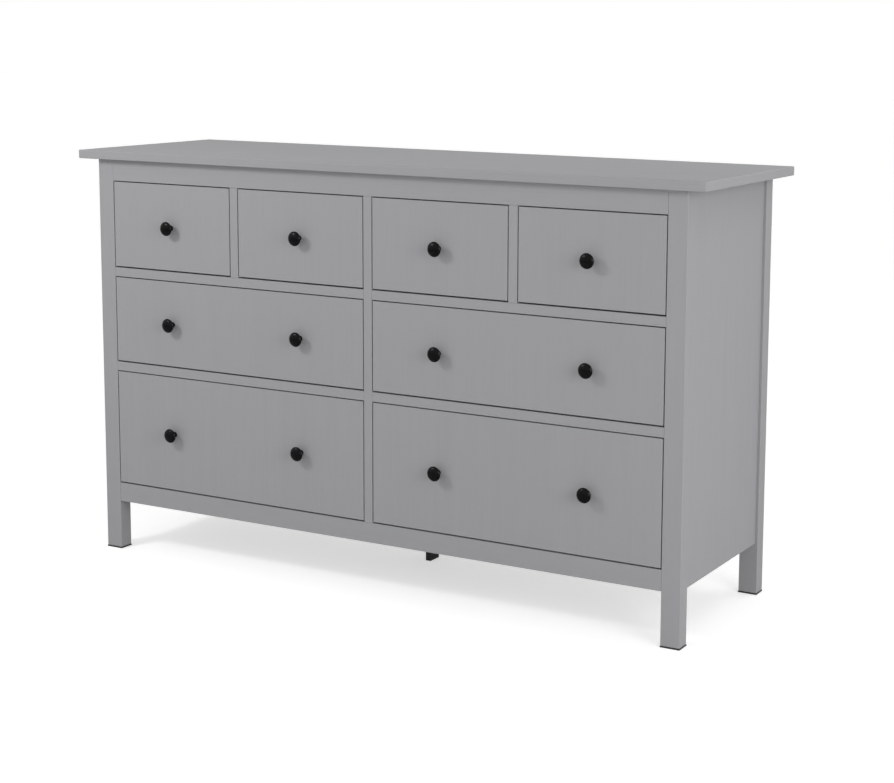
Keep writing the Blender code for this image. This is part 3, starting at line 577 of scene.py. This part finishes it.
def profile_board(outline, axis, start, end, radius=0.0):
    """An outline pushed along an axis: (y, z) points for X, (x, z) for Y and (x, y) for Z."""
    bm = bmesh.new()
    place = {"X": 0, "Y": 1, "Z": 2}[axis]
    corners = [(*point[:place], start, *point[place:]) for point in outline]
    base = bm.faces.new([bm.verts.new(corner) for corner in corners])
    pushed = bmesh.ops.extrude_face_region(bm, geom=[base])["geom"]
    move = Vector([end - start if letter == axis else 0.0 for letter in "XYZ"])
    bmesh.ops.translate(bm, vec=move, verts=[v for v in pushed if isinstance(v, bmesh.types.BMVert)])
    bmesh.ops.recalc_face_normals(bm, faces=bm.faces)
    return rounded(bm, radius) if radius else bm


def make_piece(name, bm, finish, body, stands_for=(), smooth=40.0):
    """Turn a shape into an object that rides on a body, and stand it in for its solids."""
    bmesh.ops.recalc_face_normals(bm, faces=bm.faces)
    mesh = bpy.data.meshes.new(name)
    bm.to_mesh(mesh)
    bm.free()
    return place_piece(name, mesh, finish, body, stands_for, smooth)


def place_piece(name, mesh, finish, body, stands_for=(), smooth=40.0):
    """Finish a mesh, and let it ride on a body and stand in for its solids."""
    mesh.materials.append(finish)
    mesh.shade_smooth()
    mesh.set_sharp_from_angle(angle=math.radians(smooth))
    piece = add_object(name, mesh)
    weighted = piece.modifiers.new("flat_faces", "WEIGHTED_NORMAL")
    weighted.keep_sharp = True
    weighted.weight = FLAT_FACE_WEIGHT
    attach(piece, body)
    if stands_for:
        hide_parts(*stands_for)
    return piece


print("board helpers ready")

# %% [markdown]
# The top is one wide glued-up board that overhangs the carcass, most at the ends and least at the
# rear. On the photograph its edge is square with a small even rounding, about 2 mm. It is a single
# rounded block, and its grain runs lengthwise.

# %% The top
TOP_ROUNDING, TOP_STEPS = 0.0020, 4
top = make_piece("top_board", block(TOP_LOW, TOP_HIGH, TOP_ROUNDING, TOP_STEPS), PAINT["X"],
                 "carcass", ["top_panel"])
print("top:", [round(v, 4) for v in top.dimensions])

# %% [markdown]
# Each leg is a straight square post that also forms the outer stile of the face frame. Under it sits
# a thin black glide that shows as a dark line above the floor. The glide is a hair wider than the
# leg, as nailed-on glides are.

# %% Legs and glides
LEG_ROUNDING, GLIDE_ROUNDING = 0.0010, 0.0010
for side in SIDES:
    for end in ("front", "back"):
        low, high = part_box(f"leg_{end}_{side}")
        high.z = UNDERSIDE - HAIRLINE
        make_piece(f"post_{end}_{side}", block(low, high, LEG_ROUNDING), PAINT["Z"], "carcass",
                   [f"leg_{end}_{side}"])
        pad_low, pad_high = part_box(f"glide_{end}_{side}")
        pad_high.z = low.z - HAIRLINE
        make_piece(f"foot_glide_{end}_{side}", block(pad_low, pad_high, GLIDE_ROUNDING), MOULDED_BLACK,
                   "carcass", [f"glide_{end}_{side}"])
print("legs from", round(low.z, 4), "to", round(high.z, 4), "glide", round(pad_high.z - pad_low.z, 4))

# %% [markdown]
# The rails of the face frame are dowelled between the legs. On the photograph a hairline shows at
# each end, so the rails stay separate boards with a 0.3 mm joint instead of one welded frame. The
# two rails at the back are made the same way.

# %% Rails
RAIL_ROUNDING = 0.0005
for name in ("top_rail", "bottom_rail", "back_rail_upper", "back_rail_lower"):
    low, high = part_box(name)
    low.x, high.x = HAIRLINE - LEG_INNER, LEG_INNER - HAIRLINE
    make_piece(f"{name}_board", block(low, high, RAIL_ROUNDING), PAINT["X"], "carcass", [name])
for level in ("upper", "lower"):
    for side, sign in SIDES.items():
        low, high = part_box(f"cross_rail_{level}_{side}")
        low.x, high.x = sorted((sign * (STILE / 2 + HAIRLINE), sign * (LEG_INNER - HAIRLINE)))
        make_piece(f"cross_rail_{level}_{side}_board", block(low, high, RAIL_ROUNDING), PAINT["X"],
                   "carcass", [f"cross_rail_{level}_{side}"])
print("cross rails", round(high.z - low.z, 4), "high")

# %% [markdown]
# The side is a panel held between the legs, set back 6 mm from their outer faces, which draws a soft
# line down each leg. Inside, a batten behind each pair of runners fills the space up to the legs'
# inner faces so that the runners have something to be screwed to.

# %% Side panels and battens
PANEL_THICKNESS, PANEL_ROUNDING = 0.018, 0.0008
BATTEN_PAST_RUNNER, BATTEN_ROUNDING = 0.006, 0.0012
RUNNER_LEVELS = [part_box(f"{name}_front")[0].z - GAP_BELOW + CHANNEL_LIFT
                 for name in ("drawer_bottom_left", "drawer_middle_left", "drawer_top_1")]
CHANNEL_HEIGHT = 0.0247
for side, sign in SIDES.items():
    low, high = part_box(f"side_panel_{side}")
    outer = high.x if sign > 0 else low.x
    low.x, high.x = sorted((outer, outer - sign * PANEL_THICKNESS))
    make_piece(f"side_board_{side}", block(low, high, PANEL_ROUNDING), PAINT["Z"], "carcass",
               [f"side_panel_{side}"])
    inner = outer - sign * (PANEL_THICKNESS + HAIRLINE)
    ends = sorted((inner, sign * (LEG_INNER - HAIRLINE)))
    for number, level in enumerate(RUNNER_LEVELS, start=1):
        bottom, top = level - BATTEN_PAST_RUNNER, level + CHANNEL_HEIGHT + BATTEN_PAST_RUNNER
        batten = block((ends[0], FACE + LEG_DEPTH + HAIRLINE, bottom),
                       (ends[1], REAR - LEG_DEPTH - HAIRLINE, top), BATTEN_ROUNDING)
        make_piece(f"batten_{side}_{number}", batten, PAINT["Y"], "carcass")
print("runner levels:", [round(level, 4) for level in RUNNER_LEVELS])

# %% [markdown]
# One upright board divides the chest in the middle, and its front edge is the centre stile of the
# face frame. It is notched round the long rails. Two shorter boards of the same kind stand between
# the small drawers on the upper cross rails. Their notched outlines are pushed through the thickness
# of the board, which keeps each one a single clean shape.

# %% Partition and dividers
def notched_outline(bottom, rails_below):
    """An upright board's side view as (y, z), notched at the top rails and, if asked, below."""
    top_rail_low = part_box("top_rail")[0].z - HAIRLINE
    front, back = FACE + RAIL + HAIRLINE, BACK_RAIL_FRONT - HAIRLINE
    far, top_z = BACK_PANEL_FRONT - HAIRLINE, UNDERSIDE - HAIRLINE
    upper = [(far, top_rail_low), (back, top_rail_low), (back, top_z), (front, top_z),
             (front, top_rail_low), (FACE, top_rail_low)]
    if not rails_below:
        return [(FACE, bottom), (far, bottom)] + upper
    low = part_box("bottom_rail")[1].z + HAIRLINE
    lower = [(front, bottom), (back, bottom), (back, low), (far, low)]
    return lower + upper + [(FACE, low), (front, low)]


outline = notched_outline(FLOOR_CLEARANCE, True)
centre = profile_board(outline, "X", -STILE / 2, STILE / 2, RAIL_ROUNDING)
make_piece("partition_board", centre, PAINT["Z"], "carcass", ["centre_partition"])
DIVIDER_X = {}
for side in SIDES:
    low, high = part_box(f"divider_{side}")
    DIVIDER_X[side] = (low.x + high.x) / 2
    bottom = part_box("cross_rail_upper_" + side)[1].z + HAIRLINE
    shape = profile_board(notched_outline(bottom, False), "X", DIVIDER_X[side] - STILE / 2,
                          DIVIDER_X[side] + STILE / 2, RAIL_ROUNDING)
    make_piece(f"divider_board_{side}", shape, PAINT["Z"], "carcass", [f"divider_{side}"])
print("dividers at", {side: round(x, 4) for side, x in DIVIDER_X.items()})

# %% [markdown]
# The back is a 3 mm sheet that slides into grooves in the rear legs and is pinned to the back rails
# and the partition. The pins have small domed heads about 120 mm apart, and are one mesh.

# %% The back panel and its pins
SHEET_ROUNDING, SHEET_STEPS = 0.0004, 2
PIN_SPACING, PIN_RADIUS, PIN_HEIGHT = 0.118, 0.0028, 0.0011
PIN_STEPS, PIN_RINGS = 12, 3
FROM_LEG, FROM_BELOW, FROM_ABOVE = 0.020, 0.022, 0.025
PARTITION_PINS = 5


def domed_pin(bm, place):
    """Add a small domed head that faces the rear."""
    centre = Vector(place)
    turns = [math.tau * k / PIN_STEPS for k in range(PIN_STEPS)]
    loops = []
    for ring in range(PIN_RINGS):
        angle = math.pi / 2 * ring / PIN_RINGS
        reach, rise = PIN_RADIUS * math.cos(angle), PIN_HEIGHT * math.sin(angle)
        circle = [Vector((reach * math.cos(turn), rise, reach * math.sin(turn))) for turn in turns]
        loops.append([bm.verts.new(centre + point) for point in circle])
    tip = bm.verts.new(centre + Vector((0, PIN_HEIGHT, 0)))
    pairs = [(k, (k + 1) % PIN_STEPS) for k in range(PIN_STEPS)]
    for lower, upper in zip(loops, loops[1:]):
        for k, following in pairs:
            bm.faces.new((lower[k], lower[following], upper[following], upper[k]))
    for k, following in pairs:
        bm.faces.new((loops[-1][k], loops[-1][following], tip))
    bm.faces.new(loops[0])


low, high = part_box("back_panel")
make_piece("back_sheet", block(low, high, SHEET_ROUNDING, SHEET_STEPS), HARDBOARD, "carcass",
           ["back_panel"])
pins = bmesh.new()
spaces = int(2 * LEG_INNER / PIN_SPACING)
lowest, highest = low.z + FROM_BELOW, high.z - FROM_ABOVE
for number in range(spaces + 1):
    x = -LEG_INNER + FROM_LEG + number * (2 * LEG_INNER - 2 * FROM_LEG) / spaces
    for z in (lowest, highest):
        domed_pin(pins, (x, high.y, z))
for number in range(1, PARTITION_PINS + 1):
    domed_pin(pins, (0.0, high.y, lowest + number * (highest - lowest) / (PARTITION_PINS + 1)))
make_piece("back_sheet_pins", pins, SCREW_ZINC, "carcass", smooth=60.0)
print("back sheet", round(high.y - low.y, 4), "thick,", 2 * (spaces + 1) + PARTITION_PINS, "pins")

# %% [markdown]
# A fifth, black support leg is screwed to the partition near the middle of the depth. Only its foot
# shows below the bottom rail.

# %% The support leg
SUPPORT_ROUNDING = 0.0015
low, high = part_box("centre_leg")
high.x = -STILE / 2 - HAIRLINE
make_piece("support_leg", block(low, high, SUPPORT_ROUNDING), MOULDED_BLACK, "carcass", ["centre_leg"])
print("support leg", [round(b - a, 4) for a, b in zip(low, high)])

# %% [markdown]
# Turned things, such as knobs, rollers, axles and screws, are profiles spun about an axis, as on a
# lathe. A helper spins a list of (radius, height) points and lays the result along a direction.

# %% Helpers for turned parts
DIRECTIONS = {
    "+X": Matrix.Rotation(math.pi / 2, 4, "Y"),
    "-X": Matrix.Rotation(-math.pi / 2, 4, "Y"),
    "+Y": Matrix.Rotation(-math.pi / 2, 4, "X"),
    "-Y": Matrix.Rotation(math.pi / 2, 4, "X"),
    "+Z": Matrix.Identity(4),
}
ON_AXIS = 1e-6


def turned(profile, sides, direction="+Z", place=(0, 0, 0)):
    """Spin a profile, and lay it along a direction from a place."""
    bm = bmesh.new()
    rings = []
    for radius, height in profile:
        turns = [math.tau * k / sides for k in range(1 if radius < ON_AXIS else sides)]
        rings.append([bm.verts.new((radius * math.cos(turn), radius * math.sin(turn), height))
                      for turn in turns])
    for lower, upper in zip(rings, rings[1:]):
        for k in range(sides):
            corners = [lower[k % len(lower)], lower[(k + 1) % len(lower)],
                       upper[(k + 1) % len(upper)], upper[k % len(upper)]]
            unique = list(dict.fromkeys(corners))
            if len(unique) > 2:
                bm.faces.new(unique)
    bm.transform(Matrix.Translation(place) @ DIRECTIONS[direction])
    return bm


def arc(centre, radius, start, end, steps):
    """Points on part of an ellipse in the profile's plane, angles in degrees."""
    angles = [math.radians(start + (end - start) * k / steps) for k in range(steps + 1)]
    return [(centre[0] + radius[0] * math.cos(a), centre[1] + radius[1] * math.sin(a)) for a in angles]


print("turning helpers ready")

# %% [markdown]
# The runners are strip steel, which is bent round a small radius and never has sharp corners. So a
# section is drawn as a bent centre line with a thickness. The screws that hold them have a cross
# recess, which is cut out with a Boolean.

# %% Bent strip and screw heads
BEND_STEPS = 4
HEAD_SIDES, HEAD_RIM, HEAD_EASE = 20, 0.35, 0.60
CROSS_REACH, CROSS_HALF_WIDTH, CROSS_FLOOR, CROSS_TOP = 0.62, 0.13, 0.4, 1.5


def bent_strip(points, thickness, bend):
    """The outline of a strip of metal that follows corner points, with rounded bends."""
    line = [Vector(points[0])]
    for before, corner, after in zip(points, points[1:], points[2:]):
        corner = Vector(corner)
        to_before = (Vector(before) - corner).normalized()
        to_after = (Vector(after) - corner).normalized()
        for k in range(BEND_STEPS + 1):
            share = k / BEND_STEPS
            weight_in, weight_out = (1 - share) ** 2, share ** 2
            line.append(corner + to_before * bend * weight_in + to_after * bend * weight_out)
    line.append(Vector(points[-1]))
    left, right = [], []
    for k, point in enumerate(line):
        ahead = line[min(k + 1, len(line) - 1)] - line[max(k - 1, 0)]
        normal = Vector((-ahead.y, ahead.x)).normalized() * thickness / 2
        left.append(point + normal)
        right.append(point - normal)
    return [tuple(p) for p in left + right[::-1]]


def cross_head(radius, height):
    """A pan-head screw's head with a cross recess, standing along Z from zero."""
    rim, ease = height * HEAD_RIM, height * HEAD_EASE
    profile = [(0.0, 0.0), (radius, 0.0), (radius, rim)]
    profile += arc((radius - ease, rim), (ease, height - rim), 0, 90, 4)[1:]
    profile.append((0.0, height))
    head = bpy.data.meshes.new("head")
    turned(profile, HEAD_SIDES).to_mesh(head)
    body = add_object("head", head)
    arm, half = radius * CROSS_REACH, radius * CROSS_HALF_WIDTH
    tool_mesh = bpy.data.meshes.new("cross")
    outline = [(half, half), (half, arm), (-half, arm), (-half, half), (-arm, half), (-arm, -half),
               (-half, -half), (-half, -arm), (half, -arm), (half, -half), (arm, -half), (arm, half)]
    profile_board(outline, "Z", height * CROSS_FLOOR, height * CROSS_TOP).to_mesh(tool_mesh)
    tool = add_object("cross", tool_mesh)
    cut = body.modifiers.new("recess", "BOOLEAN")
    cut.operation, cut.object, cut.solver = "DIFFERENCE", tool, "EXACT"
    bpy.context.view_layer.update()
    made = bpy.data.meshes.new_from_object(body.evaluated_get(bpy.context.evaluated_depsgraph_get()))
    bpy.data.objects.remove(body)
    bpy.data.objects.remove(tool)
    return made


SCREW_HEAD = cross_head(radius=0.0034, height=0.0010)
KNOB_SCREW_HEAD = cross_head(radius=0.0042, height=0.0020)


def add_heads(name, head, places, direction, body):
    """Screw heads at several places as one piece."""
    bm = bmesh.new()
    for place in places:
        copy = head.copy()
        copy.transform(Matrix.Translation(place) @ DIRECTIONS[direction])
        bm.from_mesh(copy)
        bpy.data.meshes.remove(copy)
    return make_piece(name, bm, SCREW_ZINC, body)


print("screw heads:", len(SCREW_HEAD.polygons), "and", len(KNOB_SCREW_HEAD.polygons), "faces")

# %% [markdown]
# Roller runners carry the drawers. The fixed half is a steel channel on the carcass, open towards the
# drawer, with a nylon roller near its front end and a small upturned lug that stops the drawer. The
# lug stands where the drawer's rear roller meets it at the end of the joint's travel. Three screws
# hold each channel.

# %% Fixed runners
STEEL, BEND = 0.0012, 0.0012
RUNNER_SPACE, SIDE_PLAY, ROLLER_PLAY = 0.0127, 0.0012, 0.0003
WEB_FRONT = HAIRLINE + STEEL
CHANNEL_REACH = RUNNER_SPACE - STEEL - SIDE_PLAY
FLANGE_LEVEL, FRONT_ROLLER_HEIGHT, REAR_ROLLER_HEIGHT = 0.0183, 0.0100, 0.0095
CHANNEL_FRONT = FACE + 0.026
BOX_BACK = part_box("drawer_top_1_box")[1].y
TRAVEL = frame["joints"][0]["range_m"][1]
LUG_LENGTH, LUG_HEIGHT, LUG_ROUNDING, LUG_SUNK = 0.004, 0.004, 0.0006, 0.0002
ROLLER_RADIUS, ROLLER_INSET, ROLLER_SIDES = 0.0080, 0.012, 32
HUB_RADIUS, RECESS_RADII, RECESS, TYRE_ROUNDING = 0.0050, (0.0054, 0.0066), 0.0005, 0.0007
WHEEL_NEAR, WHEEL_FAR = WEB_FRONT + SIDE_PLAY / 2, CHANNEL_REACH - SIDE_PLAY / 2
AXLE_RADIUS, AXLE_SIDES = 0.0015, 16
RIVET_FLAT, RIVET_ROUND, RIVET_HEIGHT = 0.0016, 0.0012, 0.0006
CHANNEL_SCREWS = (0.11, 0.52, 0.94)


def roller_profile():
    """A roller's half section: a hub, a recess in each face and a tyre with soft edges."""
    tyre, soft = ROLLER_RADIUS - TYRE_ROUNDING, (TYRE_ROUNDING, TYRE_ROUNDING)
    near = [(AXLE_RADIUS, WHEEL_NEAR), (HUB_RADIUS, WHEEL_NEAR)]
    near += [(radius, WHEEL_NEAR + RECESS) for radius in RECESS_RADII]
    near += arc((tyre, WHEEL_NEAR + TYRE_ROUNDING), soft, -90, 0, 3)
    far = arc((tyre, WHEEL_FAR - TYRE_ROUNDING), soft, 0, 90, 3)
    far += [(radius, WHEEL_FAR - RECESS) for radius in reversed(RECESS_RADII)]
    return near + far + [(HUB_RADIUS, WHEEL_FAR), (AXLE_RADIUS, WHEEL_FAR)]


ROLLER_PROFILE = roller_profile()


def fixed_runner(label, face_x, inward, level):
    """A channel, its roller, axle and screws, on the face at face_x."""
    middle = HAIRLINE + STEEL / 2
    section = [(CHANNEL_REACH, STEEL / 2), (middle, STEEL / 2), (middle, CHANNEL_HEIGHT - STEEL / 2),
               (CHANNEL_REACH, CHANNEL_HEIGHT - STEEL / 2)]
    outline = [(face_x + inward * x, level + z) for x, z in bent_strip(section, STEEL, BEND)]
    channel = profile_board(outline, "Y", CHANNEL_FRONT, BOX_BACK)
    roller_low = ROLLER_RADIUS - (LUG_HEIGHT - ROLLER_PLAY)
    reach = math.sqrt(ROLLER_RADIUS ** 2 - roller_low ** 2)
    stop = BOX_BACK - ROLLER_INSET - TRAVEL - reach - HAIRLINE
    ends = sorted((face_x + inward * (WEB_FRONT - LUG_SUNK), face_x + inward * WHEEL_FAR))
    lug = block((ends[0], stop - LUG_LENGTH, level + STEEL / 2),
                (ends[1], stop, level + STEEL + LUG_HEIGHT), LUG_ROUNDING)
    spare = bpy.data.meshes.new("spare")
    lug.to_mesh(spare)
    channel.from_mesh(spare)
    bpy.data.meshes.remove(spare)
    make_piece(f"channel_{label}", channel, ZINC, "carcass", smooth=35.0)
    direction = "+X" if inward > 0 else "-X"
    hub = (face_x, CHANNEL_FRONT + ROLLER_INSET, level + FRONT_ROLLER_HEIGHT)
    roller = turned(ROLLER_PROFILE, ROLLER_SIDES, direction, hub)
    make_piece(f"channel_roller_{label}", roller, NYLON, "carcass")
    axle = [(0.0, STEEL / 2), (AXLE_RADIUS, STEEL / 2), (AXLE_RADIUS, WHEEL_FAR),
            (RIVET_FLAT + RIVET_ROUND, WHEEL_FAR)]
    axle += arc((RIVET_FLAT, WHEEL_FAR), (RIVET_ROUND, RIVET_HEIGHT), 0, 90, 3)[1:]
    axle.append((0.0, WHEEL_FAR + RIVET_HEIGHT))
    make_piece(f"channel_axle_{label}", turned(axle, AXLE_SIDES, direction, hub), SCREW_ZINC, "carcass")
    length = BOX_BACK - CHANNEL_FRONT
    spots = [(face_x + inward * WEB_FRONT, CHANNEL_FRONT + length * share, level + CHANNEL_HEIGHT / 2)
             for share in CHANNEL_SCREWS]
    add_heads(f"channel_screws_{label}", SCREW_HEAD, spots, direction, "carcass")


for number, level in enumerate(RUNNER_LEVELS, start=1):
    for side, sign in SIDES.items():
        fixed_runner(f"{side}_side_{number}", sign * LEG_INNER, -sign, level)
        fixed_runner(f"{side}_centre_{number}", sign * STILE / 2, sign, level)
for side, x in DIVIDER_X.items():
    fixed_runner(f"{side}_divider_left_face", x - STILE / 2, -1, RUNNER_LEVELS[-1])
    fixed_runner(f"{side}_divider_right_face", x + STILE / 2, 1, RUNNER_LEVELS[-1])
print("fixed runners:", 4 * len(RUNNER_LEVELS) + 2 * len(DIVIDER_X))

# %% [markdown]
# Each drawer front is a flat slab, set flush into its opening. The gap round it is 2.5 mm wide, and a
# millimetre more below, where a drawer hangs on its rollers and must not scrape the rail. The
# box behind it is two pine sides and a pine back with a hardboard bottom in a groove. The sides run
# the full depth, and the back stands between them, held by two screws from each side.

# %% Drawer fronts and boxes
FRONT_ROUNDING, BOX_ROUNDING, BOTTOM_ROUNDING = 0.0006, 0.0012, 0.0003
BOX_THICKNESS, FRONT_THICKNESS = 0.012, 0.020
BOX_OVER_CHANNEL, BOX_DROP = 0.002, 0.035
BACK_PLAY, BACK_DROP = 0.0001, 0.0005
CORNER_SCREWS = (0.45, 0.80)


def drawer_sizes(name):
    """Where one drawer's box starts and ends."""
    low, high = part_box(f"{name}_front")
    level = low.z - GAP_BELOW + CHANNEL_LIFT
    left, right = low.x - FRONT_GAP, high.x + FRONT_GAP
    return {
        "low": low, "high": high, "level": level,
        "opening": (left, right),
        "outer": (left + RUNNER_SPACE, right - RUNNER_SPACE),
        "z": (level + BOX_OVER_CHANNEL, high.z - BOX_DROP),
        "y": (FACE + FRONT_THICKNESS + HAIRLINE, BOX_BACK),
    }


def make_box(name):
    """One drawer's front, sides, back, bottom and corner screws."""
    size = drawer_sizes(name)
    make_piece(f"{name}_slab", block(size["low"], size["high"], FRONT_ROUNDING), PAINT["Z"], name,
               [f"{name}_front"])
    outer, (y_low, y_high), (z_low, z_high) = size["outer"], size["y"], size["z"]
    left = block((outer[0], y_low, z_low), (outer[0] + BOX_THICKNESS, y_high, z_high), BOX_ROUNDING)
    right = block((outer[1] - BOX_THICKNESS, y_low, z_low), (outer[1], y_high, z_high), BOX_ROUNDING)
    inner = (outer[0] + BOX_THICKNESS + BACK_PLAY, outer[1] - BOX_THICKNESS - BACK_PLAY)
    back = block((inner[0], y_high - BOX_THICKNESS, z_low),
                 (inner[1], y_high - HAIRLINE, z_high - BACK_DROP), BOX_ROUNDING)
    make_piece(f"{name}_side_left", left, PINE["Y"], name, [f"{name}_box"])
    make_piece(f"{name}_side_right", right, PINE["Y"], name)
    make_piece(f"{name}_back", back, PINE["X"], name)
    sheet_low, sheet_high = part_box(f"{name}_bottom")
    make_piece(f"{name}_sheet", block(sheet_low, sheet_high, BOTTOM_ROUNDING, SHEET_STEPS), HARDBOARD,
               name, [f"{name}_bottom"])
    span = z_high - z_low
    for label, x, direction in (("left", outer[0] - HAIRLINE, "-X"),
                                ("right", outer[1] + HAIRLINE, "+X")):
        spots = [(x, y_high - BOX_THICKNESS / 2, z_low + span * share) for share in CORNER_SCREWS]
        add_heads(f"{name}_corner_screws_{label}", SCREW_HEAD, spots, direction, name)
    return size


BOXES = {name: make_box(name) for name in DRAWERS}
print("box depth", round(BOX_BACK - FACE - FRONT_THICKNESS, 4), "for", len(BOXES), "drawers")

# %% [markdown]
# The moving half of a runner is a steel angle on the drawer's side. Its flange lies on the channel's
# front roller, and its own roller at the rear end runs inside the channel. Both halves are drawn
# from the same few sizes, so the small plays between them stay the same on every drawer.

# %% Moving runners
AXLE_SUNK, AXLE_HEAD = 0.0002, 0.0005


def moving_runner(name, label, face_x, inward, level):
    """An angle on the drawer's side with its roller and axle."""
    size = BOXES[name]
    middle = RUNNER_SPACE - STEEL / 2
    section = [(middle, BOX_OVER_CHANNEL), (middle, FLANGE_LEVEL + STEEL / 2),
               (WEB_FRONT + SIDE_PLAY, FLANGE_LEVEL + STEEL / 2)]
    outline = [(face_x + inward * x, level + z) for x, z in bent_strip(section, STEEL, BEND)]
    angle = profile_board(outline, "Y", *size["y"])
    make_piece(f"{name}_angle_{label}", angle, ZINC, name, smooth=35.0)
    direction = "+X" if inward > 0 else "-X"
    hub = (face_x, BOX_BACK - ROLLER_INSET, level + REAR_ROLLER_HEIGHT)
    roller = turned(ROLLER_PROFILE, ROLLER_SIDES, direction, hub)
    make_piece(f"{name}_roller_{label}", roller, NYLON, name)
    start, end = WHEEL_NEAR + AXLE_SUNK, RUNNER_SPACE - AXLE_SUNK
    axle = [(0.0, start - AXLE_HEAD)] + arc((RIVET_FLAT, start), (RIVET_ROUND, AXLE_HEAD), -90, 0, 3)
    axle += [(AXLE_RADIUS, start), (AXLE_RADIUS, end), (0.0, end)]
    make_piece(f"{name}_axle_{label}", turned(axle, AXLE_SIDES, direction, hub), SCREW_ZINC, name)


for name in DRAWERS:
    opening, level = BOXES[name]["opening"], BOXES[name]["level"]
    moving_runner(name, "left", opening[0], 1, level)
    moving_runner(name, "right", opening[1], -1, level)
print("moving runners:", 2 * len(DRAWERS))

# %% [markdown]
# The knob is a turned mushroom that stands 25 mm proud: a shallow dome 33 mm across with a soft rim,
# a hollow curve in to a slim neck, and a foot barely wider than the neck. One fine profile is spun
# and used for all of them. Behind the front, each knob has the head of its machine screw.

# %% Knobs and their screws
KNOB_SIDES = 48
DOME_RADIUS, DOME_BASE, DOME_RISE = 0.0154, 0.0192, 0.0058
NECK_RADIUS, NECK_TOP = 0.0057, 0.0138
HOLLOW_REACH, HOLLOW_RISE = 0.0095, 0.0034
KNOB_RIM = [(0.0158, 0.0196), (0.0163, 0.0190), (0.0165, 0.0184), (0.0163, 0.0178), (0.0158, 0.0174)]
KNOB_FOOT = [(NECK_RADIUS, 0.0070), (0.0058, 0.0054), (0.0060, 0.0038), (0.0062, 0.0024),
             (0.0064, 0.0013), (0.0065, 0.0006), (0.0065, HAIRLINE), (0.0, HAIRLINE)]


def knob_profile():
    """The knob's half section from the tip of the dome to the foot."""
    profile = [(0.0, DOME_BASE + DOME_RISE)]
    for angle in map(math.radians, range(8, 81, 8)):
        profile.append((DOME_RADIUS * math.sin(angle), DOME_BASE + DOME_RISE * math.cos(angle)))
    profile += KNOB_RIM
    for angle in map(math.radians, range(10, 91, 10)):
        profile.append((NECK_RADIUS + HOLLOW_REACH * (1 - math.sin(angle)),
                        NECK_TOP + HOLLOW_RISE * math.cos(angle)))
    return profile + KNOB_FOOT


KNOB_MESH = bpy.data.meshes.new("knob")
turned(knob_profile(), KNOB_SIDES, "-Y").to_mesh(KNOB_MESH)


def make_knob(name, node):
    """A knob on the middle of its solid, and its screw's head inside the drawer."""
    low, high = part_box(node)
    place = Vector(((low.x + high.x) / 2, FACE, (low.z + high.z) / 2))
    mesh = KNOB_MESH.copy()
    mesh.transform(Matrix.Translation(place))
    place_piece(node.replace("_knob", "_turned_knob"), mesh, KNOB_BLACK, name, [node],
                smooth=60.0)
    spot = (place.x, FACE + FRONT_THICKNESS, place.z)
    add_heads(node.replace("_knob", "_knob_screw"), KNOB_SCREW_HEAD, [spot], "+Y", name)


knob_nodes = sorted(node for node in frame["nodes"] if "_knob" in node)
for node in knob_nodes:
    make_knob(node.split("_knob")[0], node)
print("knobs:", len(knob_nodes))
